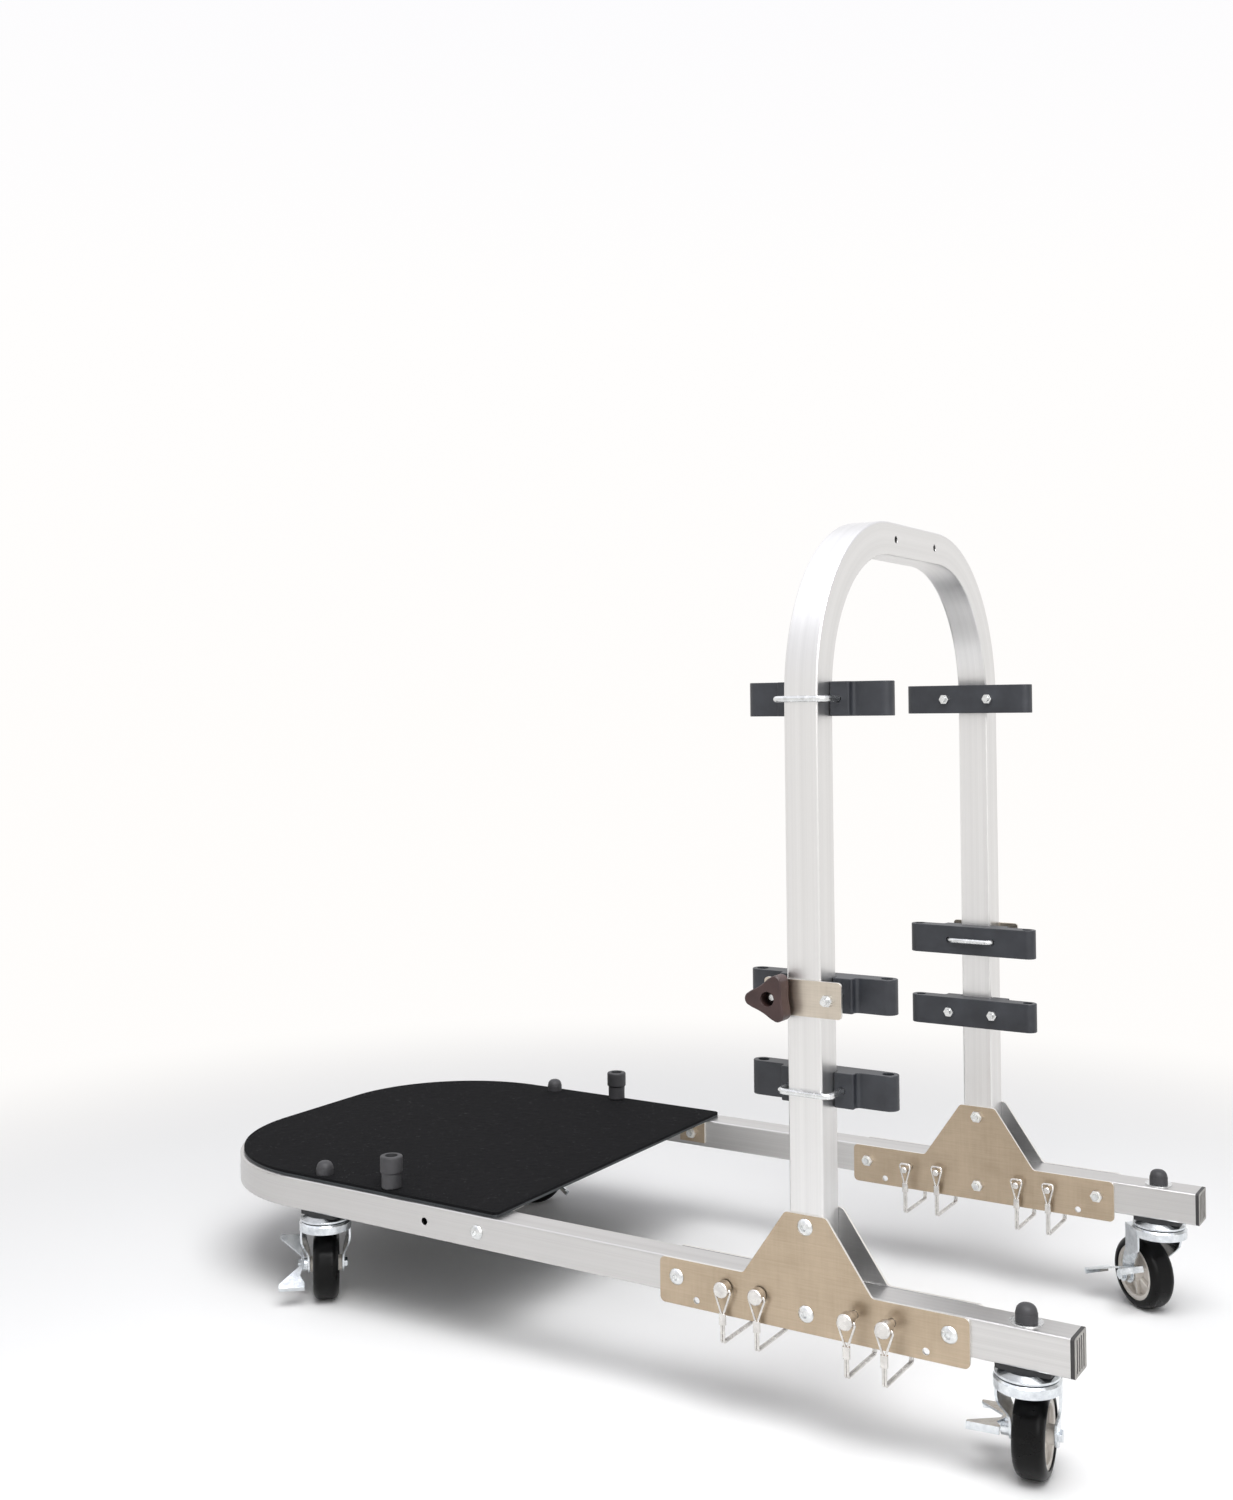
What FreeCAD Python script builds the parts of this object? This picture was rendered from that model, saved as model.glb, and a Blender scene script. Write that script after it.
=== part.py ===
"""Door dolly: a bent-tube cart that carries a pair of vehicle doors by their hinges.

+X is the front (the short rails), +Y the left side, +Z up. The floor is Z = 0, and the origin is
the middle of the footprint. All sizes are millimetres.
"""
import FreeCAD, Part
import math
import os

Vec = FreeCAD.Vector

# Square tube of the arch, the rear frame and the front rails
tube = 38.1
tube_wall = 3.0
tube_corner = 2.5
bend_radius = 181.0
frame_width = 552.0
rear_reach = 925.0
front_reach = 268.0
rail_height = 122.0
leg_straight = 636.0
rail_gap = 4.0
arch_hole = 8.5
arch_hole_spacing = 120.0
side_hole = 9.0
side_hole_inset = 103.0

# Room round bolts and pins in their holes, between loose faces, and beyond a cut
hole_clearance = 0.3
seat_gap = 0.3
running_clearance = 0.06
overrun = 5.0

# Plastic end caps of the front rails
cap_flange = 4.0
cap_plug_length = 20.0
cap_plug_wall = 2.0
cap_groove = 2.4
cap_groove_depth = 1.0
cap_groove_pitch = 7.0
cap_groove_count = 4

# Gusset plates
plate = 3.2
plate_half_length = 172.5
plate_drop = 10.5
plate_apex_rise = 109.5
plate_apex_half = 23.0
plate_slope_half = 72.0
plate_corner = 6.0
top_bolt_rise = 97.0
low_bolt_rise = 9.0
end_bolt_reach = 152.0
spare_hole = 7.5
spare_hole_reach = 128.0
spare_hole_drop = 2.0

# Dome-head bolts and their lock nuts
bolt = 8.0
bolt_head = 17.5
bolt_head_height = 4.4
bolt_head_rim = 1.0
bolt_socket = 6.0
bolt_socket_depth = 2.4
bolt_end = 2.5
nut_width = 13.0
nut_height = 5.5
nut_collar = 11.4
nut_collar_height = 2.4

# Wire lock pins and their bails
pin = 8.0
pin_reaches = (-93.0, -53.0, 53.0, 93.0)
pin_head = 16.5
pin_head_length = 11.0
pin_chamfer = 1.0
pin_home_gap = 0.5
pin_travel = 16.0
pin_tail = 4.0
pin_pulls_right = (1.0, 1.0, 14.0, 14.0)
pin_pulls_left = (2.5, 11.0, 11.0, 11.0)
wire = 2.6
wire_room = 0.3
wire_bend = 3.2
bail_depth = 56.0
bail_head_spread = 10.6
bail_head_neck = 25.0
bail_loop_half = 8.0
bail_loop_top = 7.0
bail_loop_neck = 17.0
bail_plate_gap = 2.0
sleeve_width = 7.6
sleeve_depth = 4.6
sleeve_length = 12.0
sleeve_corner = 1.6

# Hinge bars
bar_height = 36.0
bar_half_length = 82.0
bar_thickness = 21.0
bar_edge = 1.0
bar_round = 10.2
cheek_reach = 41.0
cheek_depth = 10.0
cheek_corner = 2.0
cheek_root = 4.0
cheek_room = 0.4
eye_bore = 12.5
eye_inset = 11.0
bend_room = 0.3
low_bar_rise = 232.5
clamp_rise_right = 330.0
clamp_rise_left = 325.0

# U-bolts and their hex nuts
rod = 6.35
rod_half_spacing = 28.5
rod_bend = 8.0
rod_end = 4.0
hex_width = 11.0
hex_height = 5.6

# Middle clamps: plate, stud length and three-lobed knob
clamp_plate = 3.0
clamp_plate_half = 43.0
clamp_plate_height = 37.0
clamp_plate_corner = 4.0
stud_out = 13.0
knob_boss = 24.0
knob_boss_height = 5.0
knob_height = 18.0
knob_lobe_reach = 19.0
knob_lobe_radius = 7.0
knob_waist = 15.5
knob_scallop = 60.0
knob_well = 15.0
knob_edge = 1.2
knob_turn = 4.0

# Deck: board, carpet, posts and brackets
deck_length = 527.0
deck_inset = 5.0
board = 3.0
carpet = 3.0
deck_corner = 7.0
post_inset = 168.0
post_outset = 2.0
post_foot = 20.5
post_barrel = 24.0
post_head = 27.5
post_height = 43.0
post_head_height = 21.0
post_edge = 2.0
post_well = 16.0
post_well_depth = 9.0
post_bolt = 6.0
post_bolt_head = 10.5
post_bolt_head_height = 4.0
bracket_inset = 25.0
bracket_sheet = 3.0
bracket_length = 40.0
bracket_drop = 32.0
bracket_width = 30.0
bracket_bend = 3.5

# Caster stems, pads, washers, nuts and dome caps
front_stem_reach = 221.0
rear_stem_inset = 248.0
stem = 10.0
kingpin = 12.0
pad_length = 55.0
pad_width = 34.0
pad_thickness = 5.0
pad_corner = 4.0
race_top = 46.0
race_width = 62.0
race_height = 5.4
race_rim = 2.2
race_gap = 1.6
rivet_head = 20.0
rivet_head_height = 3.0
rivet_gap = 0.6
washer_width = 32.0
rear_washer_width = 18.4
washer_thickness = 1.2
stem_nut_width = 16.0
stem_nut_height = 6.0
stem_end = 1.6
cap_width = 21.5
cap_wall = 0.9
cap_skirt = 8.0
cap_step = 0.5
cap_round = 7.6
cap_height = 16.6

# Caster forks, axles, wheels and brake levers
tyre_room = 12.0
tyre_width = 32.0
tyre_thickness = 10.5
tyre_shoulder = 9.0
tyre_seat_gap = 0.05
trail = 32.0
fork_ring = 64.4
fork_ring_height = 11.0
fork_plate = 3.0
fork_sheet = 2.5
fork_side_room = 4.5
fork_boss_radius = 11.0
fork_boss_room = 0.2
fork_inset = 0.6
fork_bell_drop = 14.0
fork_neck_rise = 8.5
fork_rear = 30.0
fork_rear_half = 27.5
fork_bands = 6
axle = 8.0
axle_nut_width = 11.0
axle_nut_height = 4.0
hub_radius = 9.5
hub_side_gap = 0.3
core_rim_wall = 5.5
core_rim_half = 14.0
core_web_half = 4.0
core_dish_half = 8.0
core_corner = 1.2
core_rib = 2.6
core_rib_count = 6
core_rib_hub_half = 13.0
core_rib_rim_half = 10.5
lever_boss = 16.8
lever_boss_thickness = 8.0
lever_sheet = 2.2
lever_rise = 6.6
lever_root = 6.0
lever_waist = 22.0
lever_waist_inset = 9.0
lever_tip_inset = 3.0
lever_reach = 39.0
lever_wing_width = 35.0
lever_tip = 6.0
lever_lip = 5.0
lever_corner = 2.5
lever_wing_angle = 1.0
lever_angle_front_right = -7.0
lever_angle_front_left = -17.0
lever_angle_rear = 37.5
front_right_heading = 7.0
front_left_heading = 50.0
rear_right_heading = 41.0
rear_left_heading = 140.0

# Places that follow from the sizes above
overall_length = rear_reach + front_reach + cap_flange
leg_x = overall_length / 2 - front_reach - cap_flange
half_tube = tube / 2
rail_y = frame_width / 2 - half_tube
leg_inner_y = frame_width / 2 - tube
rail_mid = rail_height + half_tube
rail_top = rail_height + tube
arch_top = rail_height + leg_straight + bend_radius + half_tube
deck_front = rear_reach - deck_length
side_hole_reach = deck_front + side_hole_inset
post_reach = deck_front + post_inset
post_y = rail_y + post_outset
bracket_reach = deck_front + bracket_inset
rear_stem_reach = rear_reach - rear_stem_inset
board_top = rail_top + board
deck_top = board_top + carpet
plate_out_y = frame_width / 2 + plate
plate_in_y = leg_inner_y - plate
bar_seat_y = leg_inner_y - seat_gap
bar_back_y = bar_seat_y - bar_thickness
bend_inside = bend_radius - half_tube
top_bar_relief = bend_inside - math.sqrt(bend_inside ** 2 - (bar_height / 2) ** 2) + bend_room
fork_top = rail_height - pad_thickness - race_height - race_gap
fork_bottom = fork_top - fork_ring_height
wheel_radius = (fork_bottom - tyre_room) / 2
tyre_inner_radius = wheel_radius - tyre_thickness
core_rim_radius = tyre_inner_radius - core_rim_wall
cheek_out = tyre_width / 2 + fork_side_room + fork_sheet
bell_out = fork_ring / 2 - fork_inset
bell_top = fork_top - race_rim
bell_low = fork_bottom - fork_bell_drop
neck_high = wheel_radius + fork_neck_rise

RIGHT, LEFT = -1, 1
SIDE_NAMES = {RIGHT: "right", LEFT: "left"}
X_AXIS, Y_AXIS, Z_AXIS = Vec(1, 0, 0), Vec(0, 1, 0), Vec(0, 0, 1)
ORIGIN = Vec(0, 0, 0)


# Drawing helpers

def fillet_points(before, corner, after, radius):
    """Start, middle and end of the arc that rounds one corner."""
    to_before = (before - corner).normalize()
    to_after = (after - corner).normalize()
    half = to_before.getAngle(to_after) / 2
    reach = radius / math.tan(half)
    inward = (to_before + to_after).normalize()
    middle = corner + inward * (radius / math.sin(half) - radius)
    return corner + to_before * reach, middle, corner + to_after * reach


def rounded_wire(points, radii, closed=True):
    """Straight runs through the points, with each corner rounded by its radius (0 leaves it sharp)."""
    count = len(points)
    stops = []
    for i, corner in enumerate(points):
        at_end = not closed and i in (0, count - 1)
        if at_end or radii[i] == 0:
            stops.append((corner, None, corner))
        else:
            stops.append(fillet_points(points[i - 1], corner, points[(i + 1) % count], radii[i]))
    edges = []
    for i, (start, middle, end) in enumerate(stops):
        if middle is not None:
            edges.append(Part.Arc(start, middle, end).toShape())
        last = i == count - 1
        if last and not closed:
            break
        following = stops[(i + 1) % count][0]
        if (following - end).Length > Part.Precision.confusion():
            edges.append(Part.LineSegment(end, following).toShape())
    return Part.Wire(edges)


def sheet(points, radii, depth):
    """A prism whose outline is the rounded polygon, extruded by the vector depth."""
    return Part.Face(rounded_wire(points, radii)).extrude(depth)


def rod_between(start, end, diameter):
    """A round bar from one point to another."""
    span = end - start
    return Part.makeCylinder(diameter / 2, span.Length, start, span)


def box(low, high):
    """A block between two opposite corners."""
    size = high - low
    return Part.makeBox(size.x, size.y, size.z, low)


def hexagon(centre, axis, width, height):
    """A hexagonal prism, measured across its flats, standing on centre along axis."""
    corner_radius = width / math.sqrt(3)
    points = [Vec(corner_radius * math.cos(math.radians(60 * i)),
                  corner_radius * math.sin(math.radians(60 * i)), 0) for i in range(6)]
    prism = sheet(points, [0] * 6, Z_AXIS * height)
    prism.Placement = FreeCAD.Placement(centre, FreeCAD.Rotation(Z_AXIS, axis))
    return prism


def turned(points, radii):
    """A full turn about Z of a rounded outline given as (radius, height) pairs."""
    flat = [Vec(radius, 0, height) for radius, height in points]
    return Part.Face(rounded_wire(flat, radii)).revolve(ORIGIN, Z_AXIS, 360)


def stood(shape, place, axis):
    """The shape, drawn along +Z from the origin, put at place along axis."""
    moved = shape.copy()
    moved.Placement = FreeCAD.Placement(place, FreeCAD.Rotation(Z_AXIS, axis))
    return moved


def swept(path, diameter):
    """A round rod along a path."""
    start = path.OrderedVertexes[0].Point
    first = path.OrderedEdges[0]
    direction = first.tangentAt(first.FirstParameter)
    if (first.valueAt(first.FirstParameter) - start).Length > Part.Precision.confusion():
        direction = first.tangentAt(first.LastParameter) * -1
    circle = Part.Wire([Part.Circle(start, direction, diameter / 2).toShape()])
    return path.makePipeShell([circle], True, False)


def fused(shapes):
    """One solid from shapes that overlap or meet."""
    return shapes[0].multiFuse(shapes[1:]).removeSplitter()


def save(name, shapes):
    """Write the solids of one node."""
    solids = [solid for shape in shapes for solid in shape.Solids]
    Part.makeCompound(solids).exportStep(f"parts/{name}.step")


# Square tube frame

def square(centre, across, along, size, corner):
    """Rounded square section about centre, in the plane of the directions across and along."""
    half = size / 2
    corners = [(-half, -half), (half, -half), (half, half), (-half, half)]
    points = [centre + across * a + along * b for a, b in corners]
    return rounded_wire(points, [corner] * 4)


def square_tube(points, radius, across, along):
    """Hollow square tube along a route, drawn from its first point with the section's two directions."""
    path = rounded_wire(points, [radius] * len(points), closed=False)
    skin = square(points[0], across, along, tube, tube_corner)
    bore = square(points[0], across, along, tube - 2 * tube_wall, tube_corner / 2)
    return path.makePipeShell([skin], True, False).cut(path.makePipeShell([bore], True, False))


def cross_hole(x, z, diameter, y_from, y_to):
    """A round cutter along Y at (x, z)."""
    return rod_between(Vec(x, y_from, z), Vec(x, y_to, z), diameter)


def through_rails(x, z, diameter):
    """Cutters along Y through both sides of the frame at (x, z)."""
    reach = frame_width / 2 + overrun
    inner = leg_inner_y - overrun
    return [cross_hole(x, z, diameter, side * inner, side * reach) for side in (RIGHT, LEFT)]


def stem_holes(stem_x, diameter):
    """Cutters along Z through both rails at a caster stem."""
    low, high = rail_height - overrun, rail_top + overrun
    return [rod_between(Vec(stem_x, side * rail_y, low), Vec(stem_x, side * rail_y, high), diameter)
            for side in (RIGHT, LEFT)]


def pin_holes(front):
    """Cutters for the lock pins and the end bolts of the front or the rear rails."""
    sign = 1 if front else -1
    cutters = through_rails(leg_x + sign * end_bolt_reach, rail_mid, bolt + 2 * hole_clearance)
    for reach in pin_reaches:
        if reach * sign > 0:
            cutters += through_rails(leg_x + reach, rail_mid, pin + 2 * hole_clearance)
    return cutters


def upright_arch():
    """The inverted U with its two leg bolts each side and the two holes in its top."""
    mid_top = arch_top - half_tube
    route = [Vec(leg_x, -rail_y, rail_height), Vec(leg_x, -rail_y, mid_top),
             Vec(leg_x, rail_y, mid_top), Vec(leg_x, rail_y, rail_height)]
    arch = square_tube(route, bend_radius, X_AXIS, Y_AXIS)
    cutters = []
    for rise in (top_bolt_rise, low_bolt_rise):
        cutters += through_rails(leg_x, rail_height + rise, bolt + 2 * hole_clearance)
    for y in (-arch_hole_spacing / 2, arch_hole_spacing / 2):
        front, back = leg_x + half_tube + overrun, leg_x - half_tube - overrun
        cutters.append(rod_between(Vec(back, y, mid_top), Vec(front, y, mid_top), arch_hole))
    return arch.cut(cutters)


def rear_frame():
    """The flat U of the rear rails."""
    start = leg_x - half_tube - rail_gap
    rear = leg_x - rear_reach + half_tube
    route = [Vec(start, -rail_y, rail_mid), Vec(rear, -rail_y, rail_mid),
             Vec(rear, rail_y, rail_mid), Vec(start, rail_y, rail_mid)]
    frame = square_tube(route, bend_radius, Y_AXIS, Z_AXIS)
    cutters = pin_holes(front=False)
    cutters += stem_holes(leg_x - rear_stem_reach, stem + 2 * hole_clearance)
    cutters += through_rails(leg_x - bracket_reach, rail_mid, bolt + 2 * hole_clearance)
    for side in (RIGHT, LEFT):
        outside = side * (frame_width / 2 + overrun)
        cutters.append(cross_hole(leg_x - side_hole_reach, rail_mid, side_hole, side * rail_y, outside))
        post = Vec(leg_x - post_reach, side * post_y, rail_mid)
        cutters.append(rod_between(post, post + Z_AXIS * tube, post_bolt + 2 * hole_clearance))
    return frame.cut(cutters)


def front_rail(side):
    """One short front rail."""
    route = [Vec(leg_x + half_tube + rail_gap, side * rail_y, rail_mid),
             Vec(leg_x + front_reach, side * rail_y, rail_mid)]
    rail = square_tube(route, 0, Y_AXIS, Z_AXIS)
    cutters = pin_holes(front=True)
    cutters += stem_holes(leg_x + front_stem_reach, stem + 2 * hole_clearance)
    return rail.cut(cutters)


def rail_end_cap(side):
    """A plastic cap: grooved flange and hollow plug."""
    end = leg_x + front_reach
    centre = Vec(end, side * rail_y, rail_mid)
    flange = Part.Face(square(centre, Y_AXIS, Z_AXIS, tube, tube_corner)).extrude(X_AXIS * cap_flange)
    plug_size = tube - 2 * tube_wall - 2 * hole_clearance
    plug = Part.Face(square(centre, Y_AXIS, Z_AXIS, plug_size, tube_corner / 2))
    well = Part.Face(square(centre, Y_AXIS, Z_AXIS, plug_size - 2 * cap_plug_wall, tube_corner / 2))
    hollow_plug = plug.cut(well).extrude(X_AXIS * -cap_plug_length)
    grooves = []
    for i in range(cap_groove_count):
        y = centre.y + (i - (cap_groove_count - 1) / 2) * cap_groove_pitch
        low = Vec(end + cap_flange - cap_groove_depth, y - cap_groove / 2, rail_mid - plug_size / 2)
        high = Vec(end + cap_flange + overrun, y + cap_groove / 2, rail_mid + plug_size / 2)
        grooves.append(box(low, high))
    return fused([flange, hollow_plug]).cut(grooves)


# Gusset plates, bolts and lock nuts

def gusset(face_y):
    """One plate whose lower-Y face is at face_y, with the holes for its bolts and pins."""
    low, top = rail_height - plate_drop, rail_top
    apex = rail_height + plate_apex_rise
    outline = [(-plate_half_length, low), (plate_half_length, low), (plate_half_length, top),
               (plate_slope_half, top), (plate_apex_half, apex), (-plate_apex_half, apex),
               (-plate_slope_half, top), (-plate_half_length, top)]
    points = [Vec(leg_x + x, face_y, z) for x, z in outline]
    body = sheet(points, [plate_corner] * len(points), Y_AXIS * plate)
    y_from, y_to = face_y - overrun, face_y + plate + overrun
    holes = [(0, rail_height + top_bolt_rise, bolt + 2 * hole_clearance),
             (0, rail_height + low_bolt_rise, bolt + 2 * hole_clearance)]
    for x in (-end_bolt_reach, end_bolt_reach):
        holes.append((x, rail_mid, bolt + 2 * hole_clearance))
    for x in (-spare_hole_reach, spare_hole_reach):
        holes.append((x, rail_height - spare_hole_drop, spare_hole))
    for x in pin_reaches:
        holes.append((x, rail_mid, pin + 2 * hole_clearance))
    return body.cut([cross_hole(leg_x + x, z, size, y_from, y_to) for x, z, size in holes])


def dome_bolt(grip, end):
    """Dome-head bolt along +Z: head below the origin, shank of grip and end above it."""
    crown = Part.Arc(Vec(0, 0, -bolt_head_height),
                     Vec(bolt_head / 2 * math.sin(math.radians(45)), 0,
                         -bolt_head_rim - (bolt_head_height - bolt_head_rim) * math.cos(math.radians(45))),
                     Vec(bolt_head / 2, 0, -bolt_head_rim)).toShape()
    rest = [Vec(bolt_head / 2, 0, -bolt_head_rim), Vec(bolt_head / 2, 0, 0), Vec(bolt / 2, 0, 0),
            Vec(bolt / 2, 0, grip + end), Vec(0, 0, grip + end), Vec(0, 0, -bolt_head_height)]
    lines = [Part.LineSegment(a, b).toShape() for a, b in zip(rest, rest[1:])]
    body = Part.Face(Part.Wire([crown] + lines)).revolve(ORIGIN, Z_AXIS, 360)
    socket_foot = Vec(0, 0, -bolt_head_height - overrun)
    return body.cut(hexagon(socket_foot, Z_AXIS, bolt_socket, bolt_socket_depth + overrun))


def lock_nut():
    """Hex nut with its round collar, standing on the origin along +Z."""
    collar_top = nut_height + nut_collar_height
    collar = Part.makeCylinder(nut_collar / 2, collar_top)
    thread = Part.makeCylinder(bolt / 2 + running_clearance, collar_top + overrun)
    return fused([hexagon(ORIGIN, Z_AXIS, nut_width, nut_height), collar]).cut(thread)


def gusset_bolt_places():
    """Each bolt's (x, z)."""
    return [(leg_x, rail_height + top_bolt_rise), (leg_x, rail_height + low_bolt_rise),
            (leg_x - end_bolt_reach, rail_mid), (leg_x + end_bolt_reach, rail_mid)]


def gusset_fasteners():
    """The bolts, heads outside, and the lock nuts on the inner plates."""
    grip = tube + 2 * plate
    pattern = dome_bolt(grip, nut_height + nut_collar_height + bolt_end)
    nut = lock_nut()
    bolts, nuts = [], []
    for side in (RIGHT, LEFT):
        for x, z in gusset_bolt_places():
            bolts.append(stood(pattern, Vec(x, side * plate_out_y, z), Y_AXIS * -side))
            nuts.append(stood(nut, Vec(x, side * plate_in_y, z), Y_AXIS * -side))
    return bolts, nuts


# Wire lock pins

def bail(head_mid, loop_mid):
    """The wire: through the head, down to a sleeve, under the rail and up to a loop round the tail."""
    strand = (wire + wire_room) / 2
    route = [Vec(0, head_mid, 0), Vec(bail_head_spread, head_mid, 0),
             Vec(strand, head_mid, -bail_head_neck), Vec(strand, head_mid, -bail_depth),
             Vec(strand, loop_mid, -bail_depth), Vec(strand, loop_mid, -bail_loop_neck),
             Vec(bail_loop_half, loop_mid, bail_loop_top), Vec(0, loop_mid, bail_loop_top)]
    half = swept(rounded_wire(route, [wire_bend] * len(route), closed=False), wire)
    sleeves = []
    for y, neck in ((head_mid, bail_head_neck), (loop_mid, bail_loop_neck)):
        outline = [Vec(a * sleeve_width / 2, y + b * sleeve_depth / 2, -neck - sleeve_length)
                   for a, b in ((-1, -1), (1, -1), (1, 1), (-1, 1))]
        sleeves.append(sheet(outline, [sleeve_corner] * 4, Z_AXIS * sleeve_length))
    return fused([half, half.mirror(ORIGIN, X_AXIS)] + sleeves)


def lock_pin(side, reach, pull):
    """Pin and bail at their place, pulled out of home by pull."""
    head_back = -pin_home_gap
    head_mid = head_back - pin_head_length / 2
    loop_mid = 2 * plate + tube + bail_plate_gap + pin_travel + wire / 2
    tail = loop_mid + wire / 2 + pin_tail
    head = turned([(0, 0), (pin_head / 2 - pin_chamfer, 0), (pin_head / 2, pin_chamfer),
                   (pin_head / 2, pin_head_length), (0, pin_head_length)], [0] * 5)
    shank = turned([(0, 0), (pin / 2, 0), (pin / 2, tail - head_back - pin_chamfer),
                    (pin / 2 - pin_chamfer, tail - head_back), (0, tail - head_back)], [0] * 5)
    body = fused([stood(head, Vec(0, head_back - pin_head_length, 0), Y_AXIS),
                  stood(shank, Vec(0, head_back, 0), Y_AXIS)])
    side_reach = Vec(pin_head, 0, 0)
    eye = rod_between(Vec(0, head_mid, 0) - side_reach, Vec(0, head_mid, 0) + side_reach,
                      wire + 2 * wire_room)
    shapes = [body.cut(eye), bail(head_mid, loop_mid)]
    turn = 0 if side == RIGHT else 180
    place = Vec(leg_x + reach, side * (plate_out_y + pull), rail_mid)
    for shape in shapes:
        shape.Placement = FreeCAD.Placement(place, FreeCAD.Rotation(Z_AXIS, turn))
    return shapes


# Hinge bars, U-bolts and clamps

def hinge_bar(side, rise, relief):
    """A saddle bar on the leg's inner side; the eyes in its ends line up with the other bars' eyes."""
    seat = side * (bar_seat_y - relief)
    inward = -side
    tube_side = half_tube + cheek_room
    outline = [(-bar_half_length, 0), (-cheek_reach, 0), (-cheek_reach, -cheek_depth),
               (-tube_side, -cheek_depth), (-tube_side, 0), (tube_side, 0), (tube_side, -cheek_depth),
               (cheek_reach, -cheek_depth), (cheek_reach, 0), (bar_half_length, 0),
               (bar_half_length, bar_thickness), (-bar_half_length, bar_thickness)]
    radii = [bar_round, cheek_root, cheek_corner, bar_edge, 0, 0, bar_edge, cheek_corner, cheek_root,
             bar_round, bar_round, bar_round]
    low = rail_height + rise - bar_height / 2
    points = [Vec(leg_x + x, seat + inward * depth, low) for x, depth in outline]
    body = sheet(points, radii, Z_AXIS * bar_height)
    rims = [edge for edge in body.Edges if edge.BoundBox.ZLength < bar_edge]
    body = body.makeChamfer(bar_edge / 2, rims)
    cutters = []
    eye_x = bar_half_length - eye_inset
    for x in (-eye_x, eye_x):
        foot = Vec(leg_x + x, side * (bar_seat_y - bar_thickness / 2), low - overrun)
        cutters.append(Part.makeCylinder(eye_bore / 2, bar_height + 2 * overrun, foot))
    for x in (-rod_half_spacing, rod_half_spacing):
        outer = seat - inward * (cheek_depth + overrun)
        inner = seat + inward * (bar_thickness + overrun)
        cutters.append(cross_hole(leg_x + x, rail_height + rise, rod + 2 * hole_clearance, outer, inner))
    return body.cut(cutters)


def u_rod(side, rise, bend_y, end_y):
    """A U-bolt: its bridge at bend_y and its legs' ends at end_y, both from the middle plane."""
    z = rail_height + rise
    rear, front = leg_x - rod_half_spacing, leg_x + rod_half_spacing
    route = [Vec(rear, side * end_y, z), Vec(rear, side * bend_y, z),
             Vec(front, side * bend_y, z), Vec(front, side * end_y, z)]
    return swept(rounded_wire(route, [rod_bend] * 4, closed=False), rod)


def hex_nut(place, axis):
    """A plain hex nut for the U-bolts' rod."""
    thread = rod_between(place - axis * overrun, place + axis * (hex_height + overrun),
                         rod + 2 * running_clearance)
    return hexagon(place, axis, hex_width, hex_height).cut(thread)


def fixed_u_bolt(side, rise, relief):
    """U-bolt round the leg's outer face, with its two nuts on the bar's inner face."""
    back = bar_back_y - relief
    bridge = frame_width / 2 + seat_gap + rod / 2
    shapes = [u_rod(side, rise, bridge, back - hex_height - rod_end)]
    z = rail_height + rise
    nuts = [hex_nut(Vec(leg_x + x, side * back, z), Y_AXIS * -side)
            for x in (-rod_half_spacing, rod_half_spacing)]
    return shapes, nuts


def clamp_face_y():
    """Distance from the middle plane to the outer face of the clamp plates."""
    return frame_width / 2 + seat_gap + clamp_plate


def clamp_u_bolt(side, rise):
    """U-bolt of a middle clamp, bridge on the bar's inner face, with the hex nut on its front stud."""
    bridge = bar_back_y - rod / 2
    rod_shape = u_rod(side, rise, bridge, clamp_face_y() + stud_out)
    nut_place = Vec(leg_x + rod_half_spacing, side * clamp_face_y(), rail_height + rise)
    return [rod_shape, hex_nut(nut_place, Y_AXIS * side)]


def clamp_plate_solid(side, rise):
    """Steel plate across the leg's outer face."""
    z = rail_height + rise
    inner = side * (clamp_face_y() - clamp_plate)
    corners = [(-1, -1), (1, -1), (1, 1), (-1, 1)]
    points = [Vec(leg_x + a * clamp_plate_half, inner, z + b * clamp_plate_height / 2) for a, b in corners]
    body = sheet(points, [clamp_plate_corner] * 4, Y_AXIS * side * clamp_plate)
    reach = side * (clamp_face_y() + overrun)
    cutters = [cross_hole(leg_x + x, z, rod + 2 * hole_clearance, inner - side * overrun, reach)
               for x in (-rod_half_spacing, rod_half_spacing)]
    return body.cut(cutters)


def star_knob(side, rise):
    """Three-lobed knob with hollowed sides and an open well, on the rear stud of a middle clamp."""
    foot = Vec(0, 0, knob_boss_height)
    vertex = knob_lobe_reach + knob_lobe_radius / math.sin(math.radians(30))
    headings = [math.radians(180 + knob_turn + 120 * i) for i in range(3)]
    ways = [Vec(math.cos(heading), math.sin(heading), 0) for heading in headings]
    body = sheet([foot + way * vertex for way in ways], [knob_lobe_radius] * 3, Z_AXIS * knob_height)
    body = body.cut([Part.makeCylinder(knob_scallop, knob_height, foot - way * (knob_waist + knob_scallop))
                     for way in ways])
    top = knob_boss_height + knob_height
    rims = [edge for edge in body.Edges if abs(edge.BoundBox.ZMin - top) < knob_edge / 2]
    body = body.makeChamfer(knob_edge, rims)
    body = fused([body, Part.makeCylinder(knob_boss / 2, knob_boss_height)])
    thread = Part.makeCylinder(rod / 2 + running_clearance, top + 2 * overrun, Vec(0, 0, -overrun))
    well = Part.makeCylinder(knob_well / 2, knob_height + overrun, foot + Z_AXIS * knob_edge)
    place = Vec(leg_x - rod_half_spacing, side * (clamp_face_y() + seat_gap), rail_height + rise)
    knob = stood(body.cut([thread, well]), ORIGIN, Y_AXIS * RIGHT)
    if side == LEFT:
        knob = knob.mirror(ORIGIN, Y_AXIS)
    knob.translate(place)
    return knob


# Deck

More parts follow.
